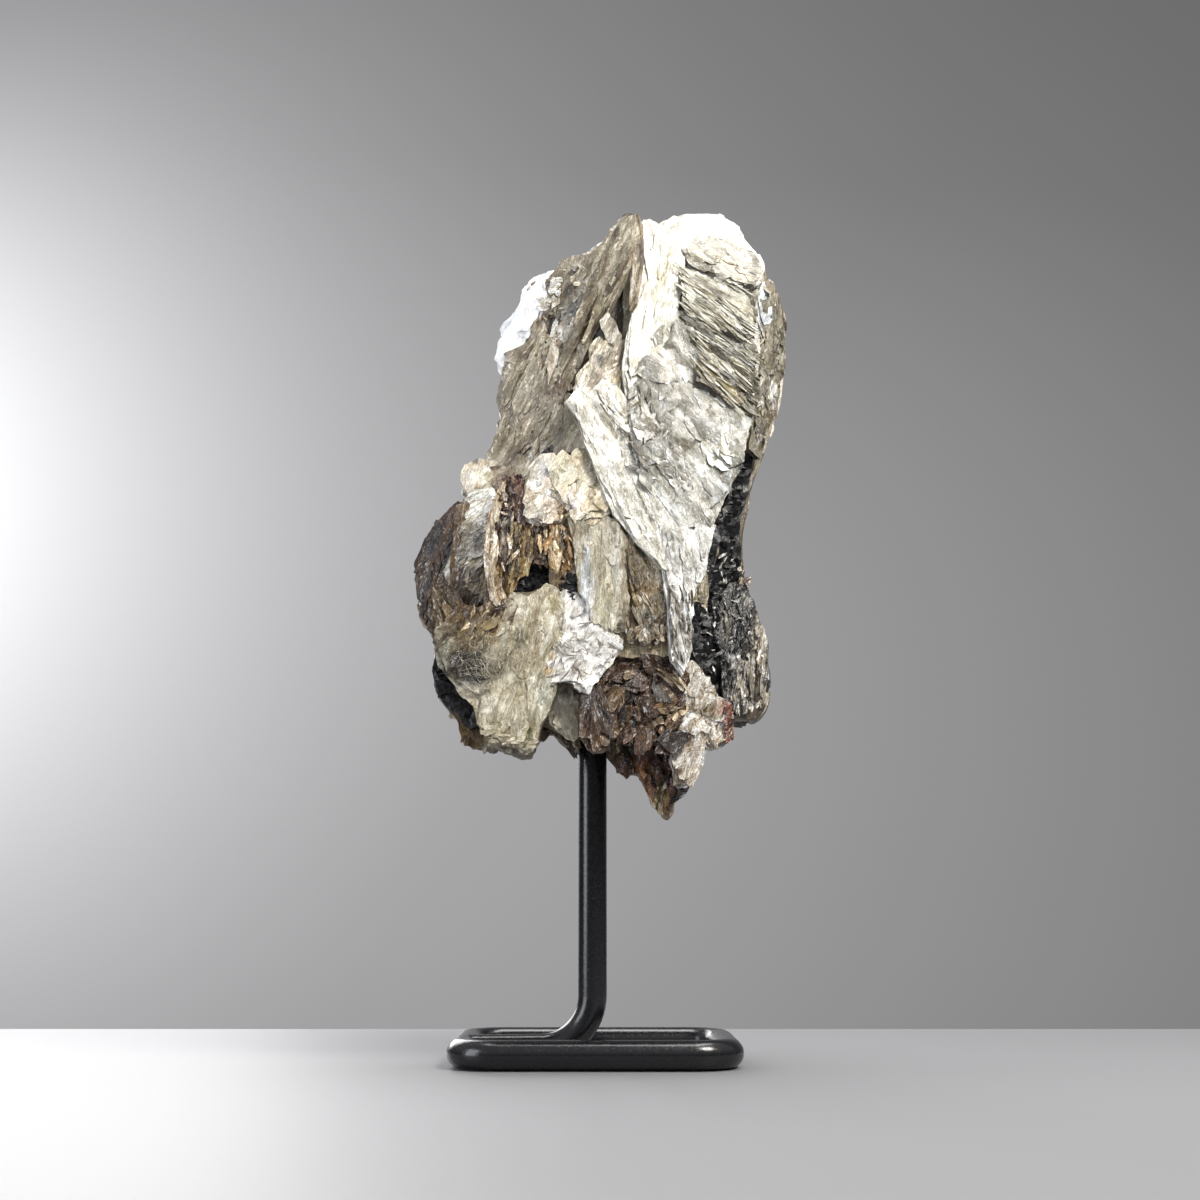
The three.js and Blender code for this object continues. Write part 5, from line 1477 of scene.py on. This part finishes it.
def make_fan():
    """The great pale fan, dark where it is split open, and the skirt under it."""
    heap = Heap()
    lay = Front(-31.6, -0.06, -0.02)
    main = book(heap, lay, [(-24, 130.5), (-19, 129), (-14, 133), (-11, 131.5), (-9, 127), (-10, 112),
        (-11, 103), (-13, 97), (-15.5, 92.5), (-16, 88.5), (-17.4, 85.4), (-19, 84), (-24, 85),
        (-29.5, 87.6), (-33, 93), (-34, 98), (-38, 101), (-41, 106), (-44, 109), (-45.4, 114), (-45.4, 120),
        (-42, 122), (-36, 119.6), (-30, 122), (-26, 126)], 72, ("#d5d1be", "#b7b099"), seed=111,
        fan=(-18, 140), tear=0.4, wave=0.4, ribs=0.25, swell=1.4, thick=2, spots=[
        (-37, 117.5, 9, 4, "#5f5032"), (-31, 120, 6, 3.4, "#6b5a3a"), (-35.6, 109, 8.2, 7.2, "#050200"),
        (-31.6, 107, 4.8, 4, "#140d06"), (-40, 108.6, 4, 3.4, "#241a0f"), (-43, 116, 5, 3, "#5b5340"),
        (-41.5, 119.6, 4, 3, "#584a36"), (-36, 118.4, 4, 3, "#5b4c36"), (-28.5, 107, 3, 4, "#807a66"),
        (-24, 122.5, 2.6, 3.4, "#9b8f78"), (-12, 126, 3, 1.8, "#a2986e"), (-17, 109, 3, 2, "#aea487"),
        (-18, 91, 6, 1.6, "#a9a079"), (-12, 110, 5, 1.2, "#ba9660"), (-42.8, 112, 5, 1.6, "#898a7b"),
        (-22, 117, 3, 3, "#9f9b84"), (-30, 119, 4, 4, "#8c7b51"), (-33.6, 116, 3, 3, "#79694a"),
        (-23, 85.4, 1.2, 6, "#534638"), (-37, 101.5, 3, 3, "#e4dfcf"), (-26, 93, 6, 2, "#c6bda0"),
        (-14, 101, 8, 1.6, "#c2c4b6"), (-12, 120, 9, 1.2, "#e7e4d8"), (-20, 103, 8, 1, "#c2ba9e"),
        (-30, 98, 3, 2, "#e9e7da"), (-21, 126, 3, 3, "#e7e2d3"), (-13.4, 113, 12, 0.7, "#b0a88f")])
    hairs(heap, main, (-24, 104), 110, 215, 3, 19, 60, "#e8e2d2", 114, 0.08)
    hairs(heap, main, (-29, 105), 60, 230, 1, 9, 16, "#efeadc", 109, 0.09)
    hairs(heap, main, (-20, 122), 190, 300, 2, 20, 34, "#efeadc", 115, 0.08)
    hairs(heap, main, (-34, 117), 230, 330, 1, 12, 12, "#e6e0d0", 116, 0.09)
    hairs(heap, main, (-26, 112), 0, 360, 1, 10, 12, "#efeadc", 110, 0.09)
    peels(heap, main, [(-44, 119), (-34, 119), (-28, 124), (-24, 122), (-30, 115), (-40, 113)], 24, (7, 3),
        50, seed=117, spread=24, contrast=0.3)
    peels(heap, main, [(-22, 127), (-12, 129), (-12, 100), (-18, 90), (-28, 92), (-27, 102), (-22, 112)],
        16, (18, 6), 76, seed=118, spread=10, contrast=0.06)
    litter(heap, main, [(-31, 88.6), (-18, 85.6), (-18, 88), (-30, 91)], 18, (5, 1.4), 5, tilt=10, seed=108,
        lift=1.2, contrast=0.3)
    skirt = book(heap, Front(-5.4, 0.1, 0), [(-38.5, 100), (-38.6, 93), (-36.6, 87), (-34, 86), (-32, 86.8),
        (-31, 84.6), (-28.6, 85.4), (-27, 90), (-26, 104)], 80, ("#8b7453", "#5a472f"), seed=119,
        spots=[(-30.4, 86.4, 2.4, 1.6, "#cfd0c2"), (-35, 94, 7, 0.8, "#b59a6c")])
    litter(heap, skirt, [(-38, 98), (-28, 98), (-27, 88), (-33, 87), (-37, 89)], 30, (6, 2.4), 80, tilt=14,
        seed=120, lift=1, contrast=0.3)
    heap.piece("great_pale_fan", cleaved_mica("fanned_pale_mica", "#5d4f38", 0.15, 0.05, 0.03, 0.46, 0.18,
        0.85, swirl=0.25, streaks=0.72, shine=0.25))


def make_foil():
    """The crumpled silver leaf beside the fan."""
    heap = Heap()
    lay = Front(-24.6, 0.1, 0.1)
    sheet = book(heap, lay, [(-13, 128), (-9, 131), (-4, 131), (-1, 127), (1, 120), (5, 119), (7.6, 117),
        (7, 113), (4, 109.4), (1, 105.6), (-1.6, 101.6), (-4.4, 102), (-7, 105), (-12.4, 104.4),
        (-14, 112)], 58, ("#fbfbfa", "#e6e6e3"), leaves=2, seed=121, crumple=1, wave=0.6, spacing=0.7,
        spots=[(-5.2, 108.5, 2, 1.4, "#685244"), (3, 111, 3, 1, "#a39e94"),
        (-8, 104.8, 2.6, 1.2, "#8b9196"), (0, 113, 4, 0.6, "#878278"), (-5, 117, 5, 0.7, "#cac8c3"),
        (-7, 109, 4, 0.6, "#878279")])
    litter(heap, sheet, [(-9.5, 127), (-4, 126), (0, 117), (6, 115), (4, 109), (-3, 103), (-9.5, 106)], 12,
        (8, 4.4), 56, seed=122, lift=0.7, spread=30, contrast=0.1)
    litter(heap, sheet, [(-12, 124), (-4, 126), (0, 117), (6, 115), (4, 109), (-3, 103), (-12, 106)], 34,
        (5.5, 0.34), 58, [("#6d6055", "#40362e"), ("#98928a", "#6e665d")], tilt=3, seed=124, lift=1,
        spread=70)
    laths(heap, Front(-28.2, 0.05, 0.02), (-4, 116), (1, 119), 3, 8, 1.8, -35,
        [("#fdfdfc", "#ecece9"), ("#c9c5bd", "#8f897f")], seed=123)
    heap.piece("silver_foil_mica",
        cleaved_mica("crumpled_silver_mica_leaf", "#6b625a", 0.2, 0.35, 0.6, 0.24, 0.4, 0.8))


def make_bottom():
    """The brown mass, its point, the cream foot and the shards round the post."""
    heap = Heap()
    browns = [("#492e11", "#301d09"), ("#5a3e1c", "#3f270f"), ("#291807", "#1b0e04"),
        ("#6c532f", "#533b1d"), ("#7d6542", "#5e4a2b"), ("#3f220a", "#543415")]
    region = [(1, 109), (4, 113), (7, 116), (10, 119), (13, 118), (17, 113), (20, 111), (24, 105), (25, 96),
        (22, 88), (10, 87), (4, 90), (-4, 97), (-4, 102)]
    ground = Sheet(Front(-24.6, 0.1, 0), region, 60, tones=("#37210b", "#180d04"), thick=2, swell=1.6,
        crumple=1.2, seed=131, spots=[(15, 111, 5, 2.5, "#0f0602"), (2, 98, 6, 2, "#201004"),
        (8, 97, 5, 3, "#3f2f16"), (9, 107, 6, 4, "#331d08"), (20, 96, 3, 3, "#543c1d")]).build(heap)
    peels(heap, ground, region, 40, (13, 7), 66, seed=128, lift=1.2, spread=30, contrast=0.5, thick=0.5)
    litter(heap, ground, region, 60, (11, 6.5), 66, browns, tilt=15, seed=132, lift=1.9, depth=0.6,
        spread=26)
    litter(heap, ground, region, 44, (6, 3.2), 66, browns, tilt=20, seed=130, lift=2.6, depth=0.6,
        spread=30)
    litter(heap, ground, [(17, 112), (24, 106), (24, 102), (18, 105)], 14, (7, 0.9), -42,
        [("#e4d6be", "#c0b094"), ("#3c2a1a", "#58422b")], tilt=14, seed=133, lift=2.6)
    litter(heap, ground, [(16, 99), (25, 97), (24, 90), (17, 91)], 22, (4.4, 2.2), 20,
        [("#cbbb9f", "#98876c"), ("#e9dbc4", "#c5b59a"), ("#8f7349", "#664c2c")], tilt=24, seed=134,
        lift=2.4, spread=30)
    book(heap, Front(-25.8, 0.05, 0.05), [(-4, 101), (-1, 104), (2, 104), (4, 98), (5, 93), (5.4, 88.6),
        (3.4, 86.6), (1.6, 85.6), (-0.6, 84.6), (-2.6, 86), (-4.4, 89.4), (-5, 95)], 76,
        ("#503716", "#382208"), seed=135, fan=(-1, 108), tear=0.3, spots=[(-1, 99, 5, 3, "#251203"),
        (1, 88, 3, 3, "#5c421e"), (3, 95, 2, 4, "#1a0a02"), (0, 92, 3, 2, "#43290b")])
    litter(heap, ground, [(-4, 103), (2, 105), (5, 99), (-2, 97)], 20, (6, 3), 68,
        [("#61411e", "#462e14"), ("#7c5a31", "#54381a"), ("#3a2615", "#27190c")], tilt=20, seed=136,
        lift=2.6)
    pale = Heap()
    flake_book = book(pale, Front(-21.4, 0.1, 0), [(-11.6, 100), (-10.6, 103.4), (-7, 105), (-4.6, 101),
        (-3, 97), (-3.4, 92), (-6, 88), (-9.6, 90.4), (-12.6, 93), (-13.4, 96)], 100,
        ("#f6f0de", "#d9d2bc"), seed=137, spots=[(-7.4, 102.6, 2.2, 3, "#6b5b4f"),
        (-8, 91, 2, 3, "#f3eedc"), (-5, 95, 3, 1, "#b3a88c"), (-10, 97, 3, 1.4, "#d3d0c2")])
    litter(pale, flake_book, [(-12, 100), (-8, 104), (-4, 98), (-6, 89), (-12, 93)], 24, (4.4, 2.6), 90,
        tilt=16, seed=138, lift=1.1, spread=30, contrast=0.2)
    pale.piece("grey_shard_at_the_post",
        cleaved_mica("grey_split_mica", "#6b5c42", 0.1, 0.2, 0.1, 0.4, 0.26, 0.6))
    foot = Front(-26.8, 0.24, 0)
    cream = book(heap, foot, [(22, 107), (24.5, 107.6), (27, 110.5), (29.4, 109), (30.6, 104.6), (33, 103),
        (34.4, 100), (38, 98.6), (39, 95), (38.6, 90), (36, 87.4), (33.6, 86), (30.6, 87), (29.6, 82),
        (28.4, 78.6), (26.6, 76), (22, 76), (20, 90)], 78, ("#d3d2cf", "#c1bdb2"), leaves=4, seed=139,
        wave=0.5, swell=0.7, spots=[(27.6, 97.4, 1.6, 2.2, "#756957"), (36, 97.6, 3, 2, "#b38277"),
        (37.2, 94, 4, 1.2, "#7e453a"), (33, 97, 2.4, 2, "#c9b7ae"), (36.6, 89, 2.6, 1, "#523c31"),
        (32, 91.5, 4, 3, "#d8d7d4"), (25, 103, 3, 2, "#bdbbb5"), (25.4, 95, 5, 1, "#dde3ea"),
        (27, 91, 3, 1, "#dbe3ee"), (29, 83, 3, 1.2, "#dce2e7"), (23.4, 99, 5, 0.8, "#80786b"),
        (29.8, 81, 2.2, 0.8, "#523a30")])
    peels(heap, cream, [(23, 106), (30, 108), (37, 98), (37, 89), (30, 87), (27, 78), (22, 80)], 26,
        (7.5, 5.5), 60, seed=140, spread=50, contrast=0.1)
    litter(heap, cream, [(35, 99), (38.6, 97), (38, 87), (35.6, 88)], 22, (2.4, 1.4), 76,
        [("#8b503f", "#6e382a"), ("#b47b6d", "#925645"), ("#503328", "#6e4738")], tilt=24, seed=141,
        lift=1.7)
    shard_tones = browns[:3] + [("#6d5049", "#4d3631"), ("#a39a78", "#7b7250")]
    small = book(heap, Front(-11.2, 0, 0),
        [(4, 93), (14, 92), (13, 83), (10, 79), (8.6, 77.6), (6, 79.6), (4.4, 84)], 66,
        ("#795636", "#4f3621"), seed=142, spots=[(8.6, 87, 4, 2, "#eece8f"), (7.4, 81, 3, 1.4, "#5b3b2f")])
    tip = book(heap, Front(-14.6, 0.1, 0), [(10, 94), (24, 93), (26, 79), (22, 73), (20, 70), (18.6, 67.6),
        (17, 68.6), (15.6, 72), (12.4, 78), (11, 82)], 80, ("#c6945f", "#775335"), seed=143, spots=[
        (18, 71.5, 3, 1.6, "#fffbb9"), (13.6, 85.6, 5, 2.4, "#916653"), (17.6, 81, 4, 1.6, "#39271d"),
        (20.6, 79.6, 5, 0.8, "#fffbc1"), (16.6, 76.6, 2.6, 1.6, "#8a623c")])
    white = book(heap, Front(-17.6, 0.2, 0), [(18, 91.6), (21.6, 90), (24, 92), (29, 92), (29.2, 84),
        (28, 79), (26.6, 76.6), (23.4, 75), (21.6, 76.6), (21, 82)], 82, ("#d5d8db", "#b8b7b3"), seed=144,
        spots=[(22.4, 86, 6, 1, "#918c81"), (25.4, 84, 5, 1, "#e0e8f3"), (22, 79, 3, 0.9, "#6d6762"),
        (21, 88, 2.4, 1.6, "#dae1ea")])
    book(heap, Front(-17.2, 0.2, 0),
        [(20.6, 72), (22.4, 75.2), (25.4, 75), (27, 76.6), (25, 73.6), (22, 71)], 30,
        ("#241f20", "#565050"), leaves=2, seed=129, tear=0.4)
    litter(heap, small, [(5, 92), (13, 91), (12, 82), (8, 79)], 26, (6, 2.8), 66, shard_tones, tilt=20,
        seed=145, lift=1.3, spread=20)
    litter(heap, tip, [(11, 92), (24, 92), (24, 80), (19, 72), (14, 78)], 44, (7, 2.8), 78, shard_tones,
        tilt=20, seed=146, lift=1.3, spread=22)
    litter(heap, tip, [(16, 77), (20, 75), (19.6, 69.6), (17, 69.6)], 12, (5, 1.3), 78,
        [("#cfc4a6", "#a3956f"), ("#8b7857", "#665438")], tilt=10, seed=148, lift=1.5, spread=6)
    litter(heap, white, [(22, 91), (28, 91), (28, 80), (23, 77)], 18, (4.4, 2.4), 80, seed=149, lift=1.2,
        contrast=0.1)
    tie = book(heap, Front(-5, 0.05, 0), [(-18, 97), (-14, 95), (-11.6, 93.6), (-8, 92), (-4, 92),
        (-4.4, 85), (-6, 83.6), (-8.6, 87), (-11, 90), (-14, 90.4), (-16, 87), (-17.6, 90)], -55,
        ("#7d6c52", "#4d3d2b"), seed=147, spots=[(-12, 93, 3, 1, "#b9ae97")])
    litter(heap, tie, [(-17, 96), (-8, 92), (-5, 90), (-6, 85), (-13, 91), (-17, 88)], 30, (4.4, 1.8), -55,
        tilt=16, seed=150, lift=1, contrast=0.3)
    heap.piece("bottom_shards", cleaved_mica("split_brown_phlogopite", "#3a2512", 0.35, 0.12, 0, 0.28, 0.42,
        1.2, deep="#f0cd8f", shine=0.3))


def make_back():
    """Seven big books and three patches of tourmaline, drawn as seen from behind."""
    heap = Heap()
    plates = [(Rear(27.4, 0.12, -0.02),
        [(24, 178), (26, 196), (20, 214), (8, 230), (-6, 238), (-14, 228), (-12, 200), (-6, 176), (8, 166)],
        80, ("#aba392", "#7f7565"), 0.3), (Rear(26.6, -0.1, 0),
        [(-10, 236), (-26, 244), (-40, 238), (-50, 224), (-52, 204), (-46, 184), (-34, 174), (-16, 178)],
        102, ("#e6e1d4", "#b9b09d"), 0.2), (Rear(27.6, -0.04, 0.02),
        [(18, 158), (0, 172), (-26, 192), (-40, 196), (-44, 186), (-22, 168), (2, 152)], 147,
        ("#f4f1e9", "#cfc7b6"), 0.15), (Rear(28.4, -0.05, 0.04),
        [(36, 150), (24, 168), (-6, 176), (-30, 172), (-40, 156), (-36, 142), (-4, 136), (26, 138)], 12,
        ("#c9c0aa", "#94876c"), 0.22), (Rear(26.4, 0.1, 0.08),
        [(46, 132), (40, 146), (22, 150), (6, 138), (4, 116), (14, 98), (30, 92), (41, 104)], 70,
        ("#8b7453", "#54412b"), 0.32), (Rear(24.4, -0.12, 0.06),
        [(-4, 132), (-10, 146), (-30, 144), (-42, 130), (-45, 112), (-38, 97), (-20, 90), (-4, 98)], 96,
        ("#d2c9b4", "#a09377"), 0.2), (Rear(12.4, -0.1, 0.1),
        [(-6, 104), (-28, 104), (-32, 90), (-24, 80), (-12, 82), (-4, 92)], 80, ("#6b5236", "#3b2b1c"),
        0.3)]
    dice = random.Random(301)
    for k, (lay, outline, grain, tones, contrast) in enumerate(plates):
        rim = [Vector(p) for p in outline]
        middle = average(rim)
        spots = []
        for spot in scattered(outline, 14, dice):
            code = dice.choice(("#5d4a35", "#f6f3ea", "#8f8466", "#d6cfbd", "#3b2d20", "#a59a7d"))
            spots.append((spot.x, spot.y, dice.uniform(2.5, 8), dice.uniform(0.8, 2.4), code))
        plate = book(heap, lay, outline, grain, tones, leaves=4, seed=302 + k, swell=2.2, tear=1.4,
            wave=1.1, spots=spots)
        inner = [middle.lerp(p, 0.9) for p in rim]
        peels(heap, plate, inner, 26, (17, 6.5), grain, seed=310 + k, spread=16, lift=0.8,
            contrast=contrast)
        litter(heap, plate, inner, 30, (5, 2.2), grain, tilt=14, seed=320 + k, lift=2, spread=30,
            contrast=contrast)
    heap.piece("back_books", cleaved_mica("split_mixed_mica", "#4d3823", 0.25, 0.12, 0.2, 0.38, 0.28))
    stones = Heap()
    for k, (lay, outline, count) in enumerate(((Rear(27.8, -0.1, 0.02),
            [(-22, 150), (-34, 146), (-42, 134), (-40, 124), (-30, 128), (-22, 138)], 60),
            (Rear(28, 0.1, 0), [(20, 170), (28, 176), (25, 190), (16, 184)], 34),
            (Rear(27.2, 0, 0.1), [(2, 112), (10, 108), (12, 98), (4, 96), (-2, 102)], 34))):
        lump = Sheet(lay, outline, 90, tones=DARK, thick=2, swell=1.2, crumple=0.8,
            seed=341 + k).build(stones)
        grains(stones, lump, outline, count, (3.6, 2.6, 2), 344 + k, 0)
    stones.piece("back_tourmaline", schorl(), sharp=20)


def worn_skin():
    """The solid with its steps worn smooth: what the books on the sides lie on."""
    worn = copy_of_solid("worn", 2.5)
    wear = worn.modifiers.new("wear", "SMOOTH")
    wear.iterations = 12
    bpy.ops.object.modifier_apply(modifier="wear")
    middle = Vector((MIDDLE.x / MM, MIDDLE.y / MM, 0))
    points = [v.co / MM - middle for v in worn.data.vertices]
    skin = BVHTree.FromPolygons(points, [list(p.vertices) for p in worn.data.polygons])
    bpy.data.objects.remove(worn)
    return skin


def covered(side, z):
    """How far back the front's books already cover a side at a height."""
    if side < 0:
        return 12 if z > 188 else 6 if z > 108 else 0
    return 6 if 96 < z < 200 else 0


PALE = [("#e4dfd2", "#b5ac9a"), ("#f4f1ea", "#d5cdbd"), ("#b3aa98", "#857b6a"), ("#8f8471", "#5f5443")]
WARM = [("#c2b596", "#8f8060"), ("#8b7453", "#54412b"), ("#ded6c2", "#a89b7d"), ("#5a4630", "#33271b")]
SOOTY = [("#5a5550", "#2b2826"), ("#8d8a82", "#3f3a35"), ("#211e1f", "#121214"), ("#a59c88", "#5f5443")]
BROAD_BOOKS = ((20, 5), (17, 8), (14, 11), (24, 7), (12, 12))
NARROW_LEAVES = ((18, 3.2), (13, 2.6), (9, 2.2), (22, 4))


def make_sides():
    """Books and leaf edges all round the sides, over the top and under the foot. Each lies where an
    aim from outside meets the skin."""
    skin = worn_skin()
    heap = Heap()
    dice = random.Random(351)
    aims = []

    def aim_in(side, y, z):
        start = Vector((side * 90, y + dice.uniform(-3, 3), z + dice.uniform(-4, 4)))
        aims.append((start, Vector((-side, 0, 0))))

    def aim_along(x, y, z, way):
        aims.append((Vector((x, y + dice.uniform(-3, 3), z)), Vector((0, 0, way))))

    for z in range(88, 240, 8):
        for side in (-1, 1):
            for y in (2, 8, 15, 21):
                if y > covered(side, z):
                    aim_in(side, y, z)
    broad = len(aims)
    for z in range(106, 238, 7):
        for side in (-1, 1):
            for y in ((-6, 0, 5) if side < 0 else (1, 6)):
                aim_in(side, y, z)
    for x in range(-12, 50, 6):
        for y in (-14, -8, -3):
            aim_along(x, y, 280, -1)
    narrow = range(broad, len(aims))
    for x in range(-6, 46, 7):
        for y in (3, 10, 16):
            aim_along(x, y, 280, -1)
    for x in range(-38, 40, 7):
        for y in (-2, 4, 12, 18):
            if math.hypot(x, y) > 12 and (y > 8 or x > -15):
                aim_along(x, y, 40, 1)
    for k, (start, aim) in enumerate(aims):
        spot, normal = skin.ray_cast(start, aim)[:2]
        thin = k in narrow
        # A narrow leaf that would land on the front's books is left out.
        if spot is None or thin and spot.z < 200 and abs(spot.x) < 26:
            continue
        facing = (normal * (1 if normal.dot(aim) < 0 else -1) - aim * 0.3).normalized()
        facing = (facing + Vector([dice.gauss(0, 0.08) for _ in range(3)])).normalized()
        long, wide = dice.choice(BROAD_BOOKS)
        if thin:
            long, wide = dice.choice(NARROW_LEAVES)
        outline = [(math.sin(turn) * wide * reach / 2, math.cos(turn) * long * reach / 2) for turn,
            reach in leaf_corners(dice, dice.randint(6, 10), 0.35, 0.6, 1.15)]
        by_the_flank = spot.x > 18 and spot.z > 96
        family = PALE if spot.z > 165 else SOOTY if by_the_flank and dice.random() < 0.7 else WARM
        lean = 90 + dice.gauss(0, 8)
        tones = dice.choice(family)
        height = dice.uniform(0, 0.5 if thin else 1.4)
        # Low at the front, a book would stick out from under the others like a spike.
        if spot.z < 104 and spot.y < 6 and abs(spot.x) > 24:
            continue
        book(heap, Drape(spot, facing, skin), outline, lean, tones, leaves=1 if thin else 2, seed=400 + k,
            spacing=1.2, swell=0.4, thick=0.8 if thin else 1.6, height=height, tear=0.8)
    heap.piece("side_books",
        cleaved_mica("split_mica_on_the_sides", "#4d3823", 0.25, 0.12, 0.2, 0.38, 0.28))


for make in (make_camera, make_lights, make_stage, make_stand, make_heart, make_upper_left, make_upper_right,
             make_middle, make_tourmaline, make_cream, make_lower_left, make_fan, make_foil, make_bottom,
             make_back, make_sides):
    make()

bpy.context.scene.view_settings.view_transform = "Standard"
